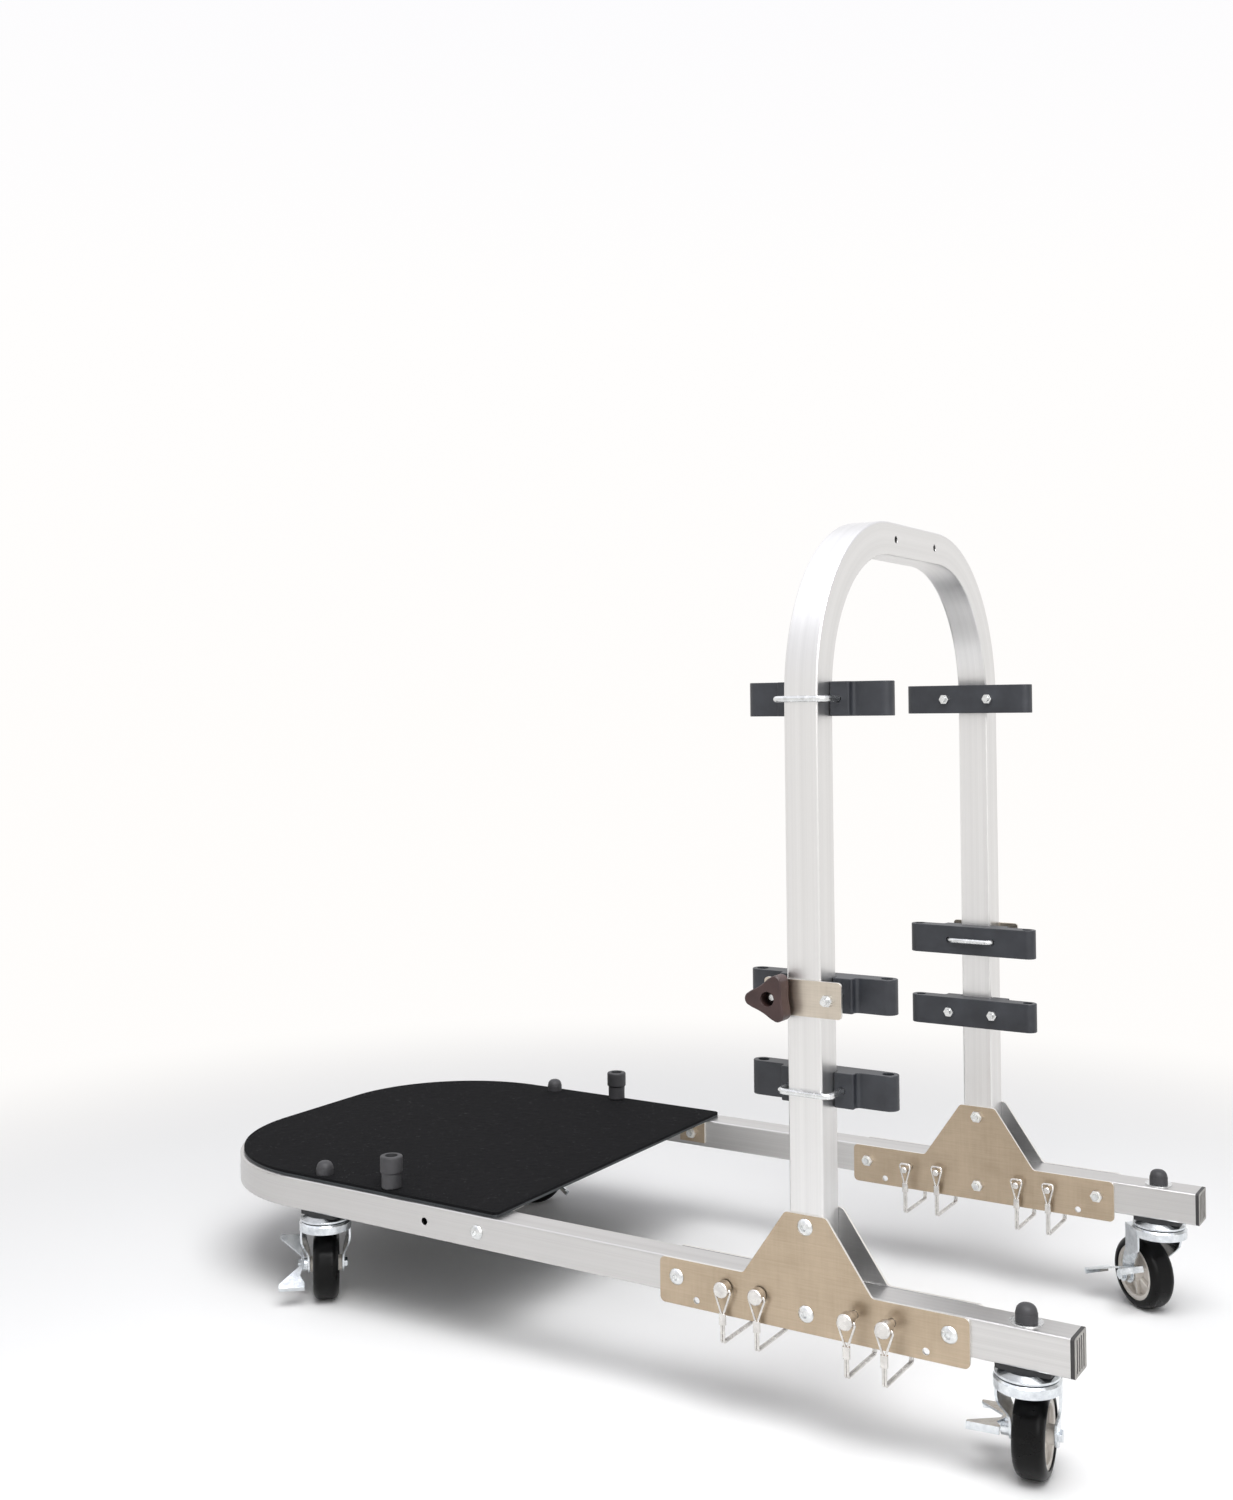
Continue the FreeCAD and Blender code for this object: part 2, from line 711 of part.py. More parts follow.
def deck_sheet(bottom, thickness, post_hole):
    """A sheet over the rear bend, with holes for the rear stems and for the posts or their bolts."""
    front = leg_x - deck_front
    rear = leg_x - rear_reach + deck_inset
    half = frame_width / 2 - deck_inset
    corner = bend_radius + half_tube - deck_inset
    points = [Vec(front, -half, bottom), Vec(front, half, bottom), Vec(rear, half, bottom),
              Vec(rear, -half, bottom)]
    body = sheet(points, [deck_corner, deck_corner, corner, corner], Z_AXIS * thickness)
    cutters = []
    for side in (RIGHT, LEFT):
        for reach, y, size in ((rear_stem_reach, rail_y, stem), (post_reach, post_y, post_hole)):
            foot = Vec(leg_x - reach, side * y, bottom - overrun)
            cutters.append(Part.makeCylinder(size / 2 + hole_clearance, thickness + 2 * overrun, foot))
    return body.cut(cutters)


def deck_post(side):
    """Rubber post on the board: straight foot through the carpet, barrel, wider head with a well."""
    shoulder = post_height - post_head_height
    body = turned([(0, 0), (post_foot / 2, 0), (post_foot / 2, carpet),
                   (post_barrel / 2, carpet + post_edge), (post_barrel / 2, shoulder),
                   (post_head / 2, shoulder + post_edge), (post_head / 2, post_height), (0, post_height)],
                  [0, 0, 0, 0, 0, 0, post_edge, 0])
    floor = Vec(0, 0, post_height - post_well_depth)
    well = Part.makeCylinder(post_well / 2, post_well_depth + overrun, floor)
    hole = Part.makeCylinder(post_bolt / 2 + hole_clearance, post_height + overrun, Vec(0, 0, -overrun))
    return stood(body.cut([well, hole]), Vec(leg_x - post_reach, side * post_y, board_top), Z_AXIS)


def post_bolt_solid(side):
    """Bolt in the post's well, down through the deck and the rail's upper wall."""
    seat = board_top + post_height - post_well_depth
    foot = rail_top - 2 * tube_wall
    x, y = leg_x - post_reach, side * post_y
    shank = rod_between(Vec(x, y, foot), Vec(x, y, seat), post_bolt)
    head = rod_between(Vec(x, y, seat), Vec(x, y, seat + post_bolt_head_height), post_bolt_head)
    return fused([shank, head])


def deck_bracket(side):
    """Angle bracket on the rail's inner face, under the deck's front edge."""
    wall, under = side * leg_inner_y, rail_top
    outline = [(0, 0), (0, -bracket_drop), (bracket_sheet, -bracket_drop), (bracket_sheet, -bracket_sheet),
               (bracket_width, -bracket_sheet), (bracket_width, 0)]
    rear = leg_x - bracket_reach - bracket_length / 2
    points = [Vec(rear, wall - side * reach, under + z) for reach, z in outline]
    body = sheet(points, [bracket_bend, 0, 0, bracket_bend / 2, 0, 0], X_AXIS * bracket_length)
    hole = cross_hole(leg_x - bracket_reach, rail_mid, bolt + 2 * hole_clearance, wall + side * overrun,
                      wall - side * (bracket_sheet + overrun))
    return body.cut(hole)


def bracket_bolts():
    """Dome-head bolts through the rails' sides and the brackets, and their lock nuts."""
    pattern = dome_bolt(tube + bracket_sheet, nut_height + nut_collar_height + bolt_end)
    nut = lock_nut()
    x = leg_x - bracket_reach
    bolts, nuts = [], []
    for side in (RIGHT, LEFT):
        bolts.append(stood(pattern, Vec(x, side * frame_width / 2, rail_mid), Y_AXIS * -side))
        nuts.append(stood(nut, Vec(x, side * (leg_inner_y - bracket_sheet), rail_mid), Y_AXIS * -side))
    return bolts, nuts


# Casters

def caster_places():
    """Name, side, stem x, seat height and width of the washer, heading and lever angle of each caster."""
    front = (leg_x + front_stem_reach, rail_top, washer_width)
    rear = (leg_x - rear_stem_reach, deck_top, rear_washer_width)
    return [("front_right", RIGHT, *front, front_right_heading, lever_angle_front_right),
            ("front_left", LEFT, *front, front_left_heading, lever_angle_front_left),
            ("rear_right", RIGHT, *rear, rear_right_heading, lever_angle_rear),
            ("rear_left", LEFT, *rear, rear_left_heading, lever_angle_rear)]


def caster_stem(x, y, seat):
    """Threaded stem with the upper raceway and the riveted kingpin below it."""
    race_low = fork_top + race_gap
    race_high = race_low + race_height
    king_low = fork_top - fork_plate - rivet_gap
    top = seat + washer_thickness + stem_nut_height + stem_end
    body = turned([(0, king_low - rivet_head_height), (rivet_head / 2, king_low - rivet_head_height),
                   (rivet_head / 2, king_low), (kingpin / 2, king_low), (kingpin / 2, race_low),
                   (race_width / 2, race_low), (race_width / 2, race_low + race_rim),
                   (race_top / 2, race_high), (stem / 2, race_high), (stem / 2, top), (0, top)], [0] * 11)
    return stood(body, Vec(x, y, 0), Z_AXIS)


def caster_pad(x, y):
    """Rectangular pad between the rail and the upper raceway."""
    low = rail_height - pad_thickness
    corners = [(-1, -1), (1, -1), (1, 1), (-1, 1)]
    points = [Vec(x + a * pad_length / 2, y + b * pad_width / 2, low) for a, b in corners]
    body = sheet(points, [pad_corner] * 4, Z_AXIS * pad_thickness)
    foot = Vec(x, y, low - overrun)
    return body.cut(Part.makeCylinder(stem / 2 + hole_clearance, pad_thickness + 2 * overrun, foot))


def stem_washer(x, y, seat, width):
    """Flat washer under the stem nut."""
    disc = Part.makeCylinder(width / 2, washer_thickness, Vec(x, y, seat))
    return disc.cut(Part.makeCylinder(stem / 2 + hole_clearance, washer_thickness, Vec(x, y, seat)))


def stem_nut(x, y, seat):
    """Hex nut on the stem."""
    place = Vec(x, y, seat + washer_thickness)
    thread = Part.makeCylinder(stem / 2 + running_clearance, stem_nut_height, place)
    return hexagon(place, Z_AXIS, stem_nut_width, stem_nut_height).cut(thread)


def stem_cap(x, y, seat, washer):
    """Hollow dome cap with a small step above its skirt; it stands on a wide washer or hides a narrow one."""
    skirt, dome = cap_width / 2, cap_width / 2 - cap_step
    inner = dome - cap_wall
    roof = cap_height - cap_wall
    body = turned([(inner, 0), (skirt, 0), (skirt, cap_skirt), (dome, cap_skirt), (dome, cap_height),
                   (0, cap_height), (0, roof), (inner, roof)],
                  [0, 0, 0, 0, cap_round, 0, 0, cap_round - cap_wall])
    foot = seat if washer < cap_width else seat + washer_thickness
    return stood(body, Vec(x, y, foot), Z_AXIS)


def leg_band(z, front, rear):
    """Level section of a fork leg: one sheet thick between its front and rear (x, y)."""
    corners = [front, rear, (rear[0] - fork_sheet, rear[1]), (front[0] - fork_sheet, front[1])]
    points = [Vec(x, y, z) for x, y in corners]
    return Part.makePolygon(points + points[:1])


def fork_leg():
    """One leg: upright below the ring, then swept in and back to the flat with a round end at the axle."""
    low = wheel_radius - fork_boss_radius
    top_front, top_rear = (bell_out, 0), (fork_rear_half, fork_rear)
    end_front, end_rear = (cheek_out, trail - fork_boss_radius), (cheek_out, trail + fork_boss_radius)
    bands = [leg_band(bell_top, top_front, top_rear)]
    for step in range(fork_bands + 1):
        share = step / fork_bands
        ease = (1 - math.cos(math.pi * share)) / 2
        front = [a + (b - a) * ease for a, b in zip(top_front, end_front)]
        rear = [a + (b - a) * ease for a, b in zip(top_rear, end_rear)]
        bands.append(leg_band(bell_low + (neck_high - bell_low) * share, front, rear))
    bands.append(leg_band(low, end_front, end_rear))
    end = rod_between(Vec(0, trail, wheel_radius), Vec(fork_ring, trail, wheel_radius),
                      2 * (fork_boss_radius + fork_boss_room))
    above = box(Vec(0, -fork_ring, wheel_radius), Vec(fork_ring, fork_ring + trail, fork_top))
    return Part.makeLoft(bands, True, True).common(fused([above, end]))


def caster_fork():
    """Fork: lower raceway ring, the two corners of sheet behind it, and the legs that carry the axle."""
    radius = fork_ring / 2
    inner = radius - fork_sheet
    bore = kingpin / 2 + running_clearance
    ring = turned([(bore, fork_top - fork_plate), (inner, fork_top - fork_plate), (inner, fork_bottom),
                   (radius, fork_bottom), (radius, bell_top), (radius - race_rim, fork_top),
                   (bore, fork_top)], [0] * 7)
    outline = [(bell_out, 0), (fork_rear_half, fork_rear), (-fork_rear_half, fork_rear), (-bell_out, 0)]
    points = [Vec(x, y, bell_top - fork_sheet) for x, y in outline]
    corners = sheet(points, [0] * len(points), Z_AXIS * fork_sheet)
    corners = corners.cut(Part.makeCylinder(inner + fork_inset, fork_top))
    leg = fork_leg()
    axle_bore = rod_between(Vec(-fork_ring, trail, wheel_radius), Vec(fork_ring, trail, wheel_radius),
                            axle + 2 * running_clearance)
    return fused([ring, corners, leg, leg.mirror(ORIGIN, X_AXIS)]).cut(axle_bore)


def caster_axle():
    """Axle bolt: hex head beyond the brake lever, plain shank, nut on the other cheek."""
    lever_face = cheek_out + seat_gap + lever_boss_thickness + seat_gap
    nut_face = cheek_out
    end = nut_face + axle_nut_height
    shank = rod_between(Vec(-lever_face, trail, wheel_radius), Vec(end, trail, wheel_radius), axle)
    head = hexagon(Vec(-lever_face, trail, wheel_radius), X_AXIS * -1, axle_nut_width, axle_nut_height)
    nut = hexagon(Vec(nut_face, trail, wheel_radius), X_AXIS, axle_nut_width, axle_nut_height)
    return fused([shank, head, nut])


def wheel_core():
    """Moulded wheel centre: hub, dished web and rim, turned about the axle, with radial ribs on the web."""
    hub_half = tyre_width / 2 + fork_side_room - hub_side_gap
    bore = axle / 2 + running_clearance
    rim = tyre_inner_radius
    half = [(bore, hub_half), (hub_radius, hub_half), (hub_radius, core_dish_half),
            (core_rim_radius, core_web_half), (core_rim_radius, core_rim_half), (rim, core_rim_half)]
    points = half + [(radius, -height) for radius, height in reversed(half)]
    radii = [0, core_corner, core_corner, core_corner, core_corner, 0] * 2
    radii[6:] = radii[5::-1]
    root, end = (bore + hub_radius) / 2, (core_rim_radius + rim) / 2
    side = [(root, core_rib_hub_half), (end, core_rib_rim_half)]
    outline = side + [(radius, -height) for radius, height in reversed(side)]
    corners = [Vec(radius, -core_rib / 2, height) for radius, height in outline]
    rib = sheet(corners, [0] * len(corners), Y_AXIS * core_rib)
    ribs = [rib.rotated(ORIGIN, Z_AXIS, 360 * i / core_rib_count) for i in range(core_rib_count)]
    return fused([turned(points, radii)] + ribs)


def wheel_tyre():
    """Tyre with round shoulders, over the core's rim."""
    inner = tyre_inner_radius + tyre_seat_gap
    half = tyre_width / 2
    points = [(inner, -half), (wheel_radius, -half), (wheel_radius, half), (inner, half)]
    return turned(points, [core_corner, tyre_shoulder, tyre_shoulder, core_corner])


def lever_wing(face, sign):
    """One foot wing, waisted beside the boss and widened to its tip, with a lip turned down at its end."""
    root, tip = face - lever_boss_thickness, face - lever_wing_width
    waist, near = face - lever_waist_inset, face - lever_tip_inset
    middle = (face + waist) / 2
    shoulder = lever_reach - lever_tip
    outline = [(middle, 0), (middle, lever_root), (waist, lever_waist), (near, shoulder),
               (near, lever_reach), (tip, lever_reach), (tip, shoulder), (root, lever_root), (root, 0)]
    points = [Vec(x, sign * y, lever_rise) for x, y in outline]
    corners = [0, lever_corner, lever_corner, lever_corner, 0, 0, lever_corner, lever_corner, 0]
    blade = sheet(points, corners, Z_AXIS * lever_sheet)
    end = sorted((sign * lever_reach, sign * (lever_reach - lever_sheet)))
    lip = box(Vec(tip, end[0], lever_rise - lever_lip), Vec(near, end[1], lever_rise + lever_sheet))
    wing = fused([blade, lip])
    wing.rotate(Vec(0, 0, lever_rise), X_AXIS, sign * lever_wing_angle)
    return wing


def brake_lever(angle):
    """Side brake: a boss on the axle with two foot wings, turned by angle about the axle."""
    face = -(cheek_out + seat_gap)
    boss = rod_between(Vec(face, 0, 0), Vec(face - lever_boss_thickness, 0, 0), lever_boss)
    bore = rod_between(Vec(face + overrun, 0, 0), Vec(face - lever_boss_thickness - overrun, 0, 0),
                       axle + 2 * running_clearance)
    body = fused([boss, lever_wing(face, -1), lever_wing(face, 1)]).cut(bore)
    body.rotate(ORIGIN, X_AXIS, angle)
    body.translate(Vec(0, trail, wheel_radius))
    return body


def wheel_set(place, heading, lever_angle):
    """Fork with axle, core, tyre and lever of one caster, turned to its heading under the stem."""
    core = stood(wheel_core(), Vec(0, trail, wheel_radius), X_AXIS)
    tyre = stood(wheel_tyre(), Vec(0, trail, wheel_radius), X_AXIS)
    groups = {"fork": [caster_fork(), caster_axle()], "core": [core], "tyre": [tyre],
              "brake": [brake_lever(lever_angle)]}
    for shapes in groups.values():
        for shape in shapes:
            shape.rotate(ORIGIN, Z_AXIS, heading)
            shape.translate(place)
    return groups


# Write every node

def save_frame():
    save("upright_arch", [upright_arch()])
    save("rear_frame", [rear_frame()])
    for side, name in SIDE_NAMES.items():
        save(f"front_rail_{name}", [front_rail(side)])
        outer, inner = side * plate_out_y, side * plate_in_y
        save(f"gusset_outer_{name}", [gusset(min(outer, outer - side * plate))])
        save(f"gusset_inner_{name}", [gusset(min(inner, inner + side * plate))])
    save("rail_end_caps", [rail_end_cap(side) for side in SIDE_NAMES])
    bolts, nuts = gusset_fasteners()
    deck_bolts, deck_nuts = bracket_bolts()
    save("gusset_bolts", bolts)
    save("bracket_bolts", deck_bolts)
    save("lock_nuts", nuts + deck_nuts)


def save_pins():
    for side, pulls in ((RIGHT, pin_pulls_right), (LEFT, pin_pulls_left)):
        for number, (reach, pull) in enumerate(zip(pin_reaches, pulls), start=1):
            save(f"lock_pin_{SIDE_NAMES[side]}_{number}", lock_pin(side, reach, pull))


def save_bars():
    rods, nuts = [], []
    clamp_rises = {RIGHT: clamp_rise_right, LEFT: clamp_rise_left}
    for side, name in SIDE_NAMES.items():
        for level, rise, relief in (("top", leg_straight, top_bar_relief), ("low", low_bar_rise, 0)):
            save(f"{level}_bar_{name}", [hinge_bar(side, rise, relief)])
            rod_shapes, nut_shapes = fixed_u_bolt(side, rise, relief)
            rods += rod_shapes
            nuts += nut_shapes
        rise = clamp_rises[side]
        save(f"clamp_bar_{name}", [hinge_bar(side, rise, 0)])
        save(f"clamp_u_bolt_{name}", clamp_u_bolt(side, rise))
        save(f"clamp_plate_{name}", [clamp_plate_solid(side, rise)])
        save(f"star_knob_{name}", [star_knob(side, rise)])
    save("u_bolts", rods)
    save("u_bolt_nuts", nuts)


def save_deck():
    save("deck_board", [deck_sheet(rail_top, board, post_bolt)])
    save("deck_carpet", [deck_sheet(board_top, carpet, post_foot)])
    save("deck_posts", [deck_post(side) for side in SIDE_NAMES])
    save("post_bolts", [post_bolt_solid(side) for side in SIDE_NAMES])
    save("deck_brackets", [deck_bracket(side) for side in SIDE_NAMES])


def save_casters():
    fixed = {"caster_stems": [], "caster_pads": [], "stem_washers": [], "stem_nuts": [], "stem_caps": []}
    for name, side, x, seat, washer, heading, lever_angle in caster_places():
        y = side * rail_y
        fixed["caster_stems"].append(caster_stem(x, y, seat))
        fixed["caster_pads"].append(caster_pad(x, y))
        fixed["stem_washers"].append(stem_washer(x, y, seat, washer))
        fixed["stem_nuts"].append(stem_nut(x, y, seat))
        fixed["stem_caps"].append(stem_cap(x, y, seat, washer))
        for kind, shapes in wheel_set(Vec(x, y, 0), heading, lever_angle).items():
            save(f"{kind}_{name}", shapes)
    for node, shapes in fixed.items():
        save(node, shapes)


os.makedirs("parts", exist_ok=True)
save_frame()
save_pins()
save_bars()
save_deck()
save_casters()
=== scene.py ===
"""Looks of the door dolly: materials for every piece, the carpet, and the studio round it.

Sizes are metres. Tones are a material's dark and bright colours. A noise is a scale, a detail and, where it
isn't the usual one, a roughness. A relief is a height, a strength and the radius of rounded edges, if any.
"""
import math
import random

import bmesh
import bpy
from mathutils import Matrix, Vector, geometry, noise as field


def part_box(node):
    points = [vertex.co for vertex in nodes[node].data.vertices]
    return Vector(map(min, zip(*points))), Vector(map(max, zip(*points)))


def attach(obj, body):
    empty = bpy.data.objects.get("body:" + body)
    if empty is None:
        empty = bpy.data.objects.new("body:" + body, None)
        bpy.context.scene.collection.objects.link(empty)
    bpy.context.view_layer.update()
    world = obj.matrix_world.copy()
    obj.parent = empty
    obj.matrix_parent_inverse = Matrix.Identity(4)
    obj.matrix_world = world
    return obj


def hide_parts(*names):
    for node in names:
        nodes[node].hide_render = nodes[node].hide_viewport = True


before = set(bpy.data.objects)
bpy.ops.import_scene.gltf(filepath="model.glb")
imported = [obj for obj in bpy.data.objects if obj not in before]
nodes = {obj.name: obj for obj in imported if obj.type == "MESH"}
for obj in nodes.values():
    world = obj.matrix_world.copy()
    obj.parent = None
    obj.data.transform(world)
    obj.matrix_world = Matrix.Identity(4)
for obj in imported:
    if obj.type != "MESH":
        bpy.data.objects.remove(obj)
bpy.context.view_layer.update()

# Sizes that the frame gives, or that the materials and the carpet follow
arch_low, arch_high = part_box("upright_arch")
rear_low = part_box("rear_frame")[0]
carpet_low, carpet_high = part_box("deck_carpet")
inner_plate_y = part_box("gusset_inner_left")[0].y
bar_back_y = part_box("low_bar_left")[0].y
clamp_face_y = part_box("clamp_plate_left")[1].y
HALF_TUBE = (arch_high.x - arch_low.x) / 2
BEND_RADIUS = 0.181
LEG_X = (arch_low.x + arch_high.x) / 2
RAIL_Y = arch_high.y - HALF_TUBE
REAR_CORNER = BEND_RADIUS + HALF_TUBE - (carpet_low.x - rear_low.x)


# Camera of the photograph

IMAGE_WIDTH, IMAGE_HEIGHT = 1233, 1500
CAMERA_FROM_LEG = Vector((0.70875, -1.75695, 0.62603))
CAMERA_YAW, CAMERA_PITCH, CAMERA_ROLL = 32.95, 0.94, -0.57
FOCAL_PIXELS = 1584.94
AXIS_PIXEL = (594.74, 684.65)


def add_camera():
    """The camera at the photograph's place, angle and framing."""
    yaw, pitch, roll = (math.radians(a) for a in (CAMERA_YAW, CAMERA_PITCH, CAMERA_ROLL))
    forward = Vector((-math.sin(yaw) * math.cos(pitch), math.cos(yaw) * math.cos(pitch), math.sin(pitch)))
    level = Vector((math.cos(yaw), math.sin(yaw), 0))
    lift = level.cross(forward)
    right = level * math.cos(roll) + lift * math.sin(roll)
    up = lift * math.cos(roll) - level * math.sin(roll)
    data = bpy.data.cameras.new("camera")
    data.lens = FOCAL_PIXELS / IMAGE_HEIGHT * data.sensor_width
    data.shift_x = (IMAGE_WIDTH / 2 - AXIS_PIXEL[0]) / IMAGE_HEIGHT
    data.shift_y = (AXIS_PIXEL[1] - IMAGE_HEIGHT / 2) / IMAGE_HEIGHT
    camera = bpy.data.objects.new("camera", data)
    bpy.context.scene.collection.objects.link(camera)
    turn = Matrix((right, up, -forward)).transposed().to_4x4()
    place = Vector((LEG_X, 0, arch_low.z)) + CAMERA_FROM_LEG
    camera.matrix_world = Matrix.Translation(place) @ turn
    bpy.context.scene.camera = camera


# Node helpers for the materials

BEVEL_SAMPLES = 4
# A face looks along an axis where that part of its normal is over this
FACING = 0.6
TONE_STOPS, WIDE_STOPS = (0.3, 0.7), (0.3, 0.72)


def new_material(name):
    """A material, its node tree and its shader node."""
    made = bpy.data.materials.new(name)
    made.use_nodes = True
    tree = made.node_tree
    return made, tree, tree.nodes["Principled BSDF"]


def add(tree, kind, inputs=None, **settings):
    """A node with its settings, and its inputs set or linked."""
    made = tree.nodes.new(kind)
    for key, value in settings.items():
        setattr(made, key, value)
    for key, value in (inputs or {}).items():
        if isinstance(value, bpy.types.NodeSocket):
            tree.links.new(value, made.inputs[key])
        else:
            made.inputs[key].default_value = value
    return made


def calc(tree, operation, first, second=0.0):
    """The result of a math node."""
    return add(tree, "ShaderNodeMath", {0: first, 1: second}, operation=operation).outputs[0]


def weighted(tree, shares, first, second):
    """The sum of two values, each times its share."""
    return calc(tree, "ADD", calc(tree, "MULTIPLY", first, shares[0]),
                calc(tree, "MULTIPLY", second, shares[1]))


def position(tree):
    """The x, y and z sockets of the piece's own coordinates, which are the frame's."""
    coords = add(tree, "ShaderNodeTexCoord")
    return add(tree, "ShaderNodeSeparateXYZ", {0: coords.outputs["Object"]}).outputs


def normal(tree):
    """The x, y and z sockets of the face's normal."""
    face = add(tree, "ShaderNodeNewGeometry").outputs["Normal"]
    return add(tree, "ShaderNodeSeparateXYZ", {0: face}).outputs


def vector(tree, x, y, z):
    """A vector socket from three values or sockets."""
    return add(tree, "ShaderNodeCombineXYZ", {0: x, 1: y, 2: z}).outputs[0]


def noise(tree, coordinates, scale, detail, roughness=0.5):
    """A noise value from 0 to 1."""
    inputs = {"Vector": coordinates, "Scale": scale, "Detail": detail, "Roughness": roughness}
    return add(tree, "ShaderNodeTexNoise", inputs).outputs["Fac"]


def ramp(tree, value, stops):
    """A colour from a value, by (place, grey or colour) stops."""
    made = add(tree, "ShaderNodeValToRGB", {0: value})
    for place, _ in stops[2:]:
        made.color_ramp.elements.new(place)
    for element, (place, colour) in zip(made.color_ramp.elements, stops):
        element.position = place
        element.color = (*colour, 1) if hasattr(colour, "__len__") else (colour, colour, colour, 1)
    return made.outputs[0]


def tone(tree, value, tones, stops=TONE_STOPS):
    """A colour between a dark and a bright tone."""
    return ramp(tree, value, list(zip(stops, tones)))


def spread(tree, value, low, high):
    """A value from 0 to 1 mapped to low to high."""
    inputs = {"Value": value, "To Min": low, "To Max": high}
    return add(tree, "ShaderNodeMapRange", inputs).outputs[0]


def drifting(tree, value, middle, drift):
    """A value from 0 to 1 mapped to a span round a middle."""
    return spread(tree, value, middle + drift[0], middle + drift[1])


def tint(tree, share, first, second):
    """Two colours mixed by a share."""
    inputs = {0: share, 6: first, 7: second}
    return add(tree, "ShaderNodeMix", inputs, data_type="RGBA").outputs[2]


def rounded_normal(tree, radius):
    """The normal on edges that are rounded by a radius."""
    return add(tree, "ShaderNodeBevel", {"Radius": radius}, samples=BEVEL_SAMPLES).outputs[0]


def relief(tree, height, distance, strength, edge=0):
    """A normal from a height field, on edges that are rounded by the radius edge."""
    inputs = {"Height": height, "Distance": distance, "Strength": strength}
    if edge:
        inputs["Normal"] = rounded_normal(tree, edge)
    return add(tree, "ShaderNodeBump", inputs).outputs[0]


def connect(tree, shader, **inputs):
    """Set or link the shader's inputs, named with underscores."""
    for key, value in inputs.items():
        socket = shader.inputs[key.replace("_", " ")]
        if isinstance(value, bpy.types.NodeSocket):
            tree.links.new(value, socket)
        else:
            socket.default_value = value


# Aluminium tube, with drawn lines that follow the bends

ARCH_TONES = (0.70, 0.695, 0.69), (0.84, 0.835, 0.83)
# The rails and rear frame are the arch's aluminium in darker tones: painted shade for the floor's shade that
# they mirror
SHADED_RAIL_TONES = (0.54, 0.53, 0.52), (0.68, 0.67, 0.66)
# A pale colour painted along the rounded corners as a highlight
PAINTED_TUBE_HIGHLIGHT = (0.90, 0.89, 0.89, 1)
TUBE_HIGHLIGHT_RADIUS, TUBE_HIGHLIGHT_GAIN = 0.0012, 2.0
DRAWN_LINES, BROAD_LINES = (900.0, 5.0, 0.7), (160.0, 2.0)
STREAK_SHARES = (0.5, 0.5)
TUBE_CLOUDS, TUBE_MARKS = (9.0, 3.0), (210.0, 2.0, 0.6)
TUBE_CLOUD_SHARE = 0.4
STREAK_ROUGHNESS, MARK_ROUGHNESS = (0.26, 0.38), (-0.03, 0.05)
TUBE_RELIEF = (0.00006, 0.6, 0.0008)


def around_bend(tree, side, along, straight_end):
    """Distance across a bent tube from the middle of its bend.

    side is measured from the middle between the arms, and along runs towards the bend.
    """
    arm = calc(tree, "ABSOLUTE", side)
    past_side = calc(tree, "MAXIMUM", calc(tree, "SUBTRACT", arm, RAIL_Y - BEND_RADIUS))
    past_end = calc(tree, "MAXIMUM", calc(tree, "SUBTRACT", along, straight_end))
    squares = calc(tree, "ADD", calc(tree, "MULTIPLY", past_side, past_side),
                   calc(tree, "MULTIPLY", past_end, past_end))
    return calc(tree, "SQRT", squares)


def arch_lines(tree, x, y, z):
    """Places across the arch's tube."""
    return around_bend(tree, y, z, arch_high.z - HALF_TUBE - BEND_RADIUS), x


def rear_lines(tree, x, y, z):
    """Places across the rear frame's tube."""
    back = calc(tree, "MULTIPLY", x, -1.0)
    return around_bend(tree, y, back, -(rear_low.x + HALF_TUBE + BEND_RADIUS)), z


def rail_lines(tree, x, y, z):
    """Places across a straight front rail."""
    return y, z


def edge_share(tree, radius, gain):
    """0 on flat faces, up to 1 along edges, where the normal of a rounded edge leaves the face's."""
    face = add(tree, "ShaderNodeNewGeometry").outputs["Normal"]
    inputs = {0: rounded_normal(tree, radius), 1: face}
    same = add(tree, "ShaderNodeVectorMath", inputs, operation="DOT_PRODUCT").outputs["Value"]
    turned = calc(tree, "MULTIPLY", calc(tree, "SUBTRACT", 1.0, same), gain)
    return add(tree, "ShaderNodeClamp", {0: turned}).outputs[0]


def aluminium(name, lines, tones):
    """Mill-finish tube: fine drawn lines, a soft cloudy sheen, small handling marks and a painted highlight
    along the corners.
    """
    made, tree, shader = new_material(name)
    x, y, z = position(tree)
    across = vector(tree, *lines(tree, x, y, z), 0.0)
    place = vector(tree, x, y, z)
    drawn = noise(tree, across, *DRAWN_LINES)
    broad = noise(tree, across, *BROAD_LINES)
    streak = weighted(tree, STREAK_SHARES, drawn, broad)
    cloudy = spread(tree, noise(tree, place, *TUBE_CLOUDS), 0.0, TUBE_CLOUD_SHARE)
    marks = noise(tree, place, *TUBE_MARKS)
    worn = tint(tree, cloudy, tone(tree, streak, tones), (*tones[0], 1))
    # Painted highlight: the rounded edges take a pale colour
    highlighted = tint(tree, edge_share(tree, TUBE_HIGHLIGHT_RADIUS, TUBE_HIGHLIGHT_GAIN), worn, PAINTED_TUBE_HIGHLIGHT)
    rough = calc(tree, "ADD", spread(tree, streak, *STREAK_ROUGHNESS), spread(tree, marks, *MARK_ROUGHNESS))
    connect(tree, shader, Base_Color=highlighted, Metallic=1.0, Roughness=rough,
            Normal=relief(tree, streak, *TUBE_RELIEF))
    return made


# Sheet steel and plated hardware

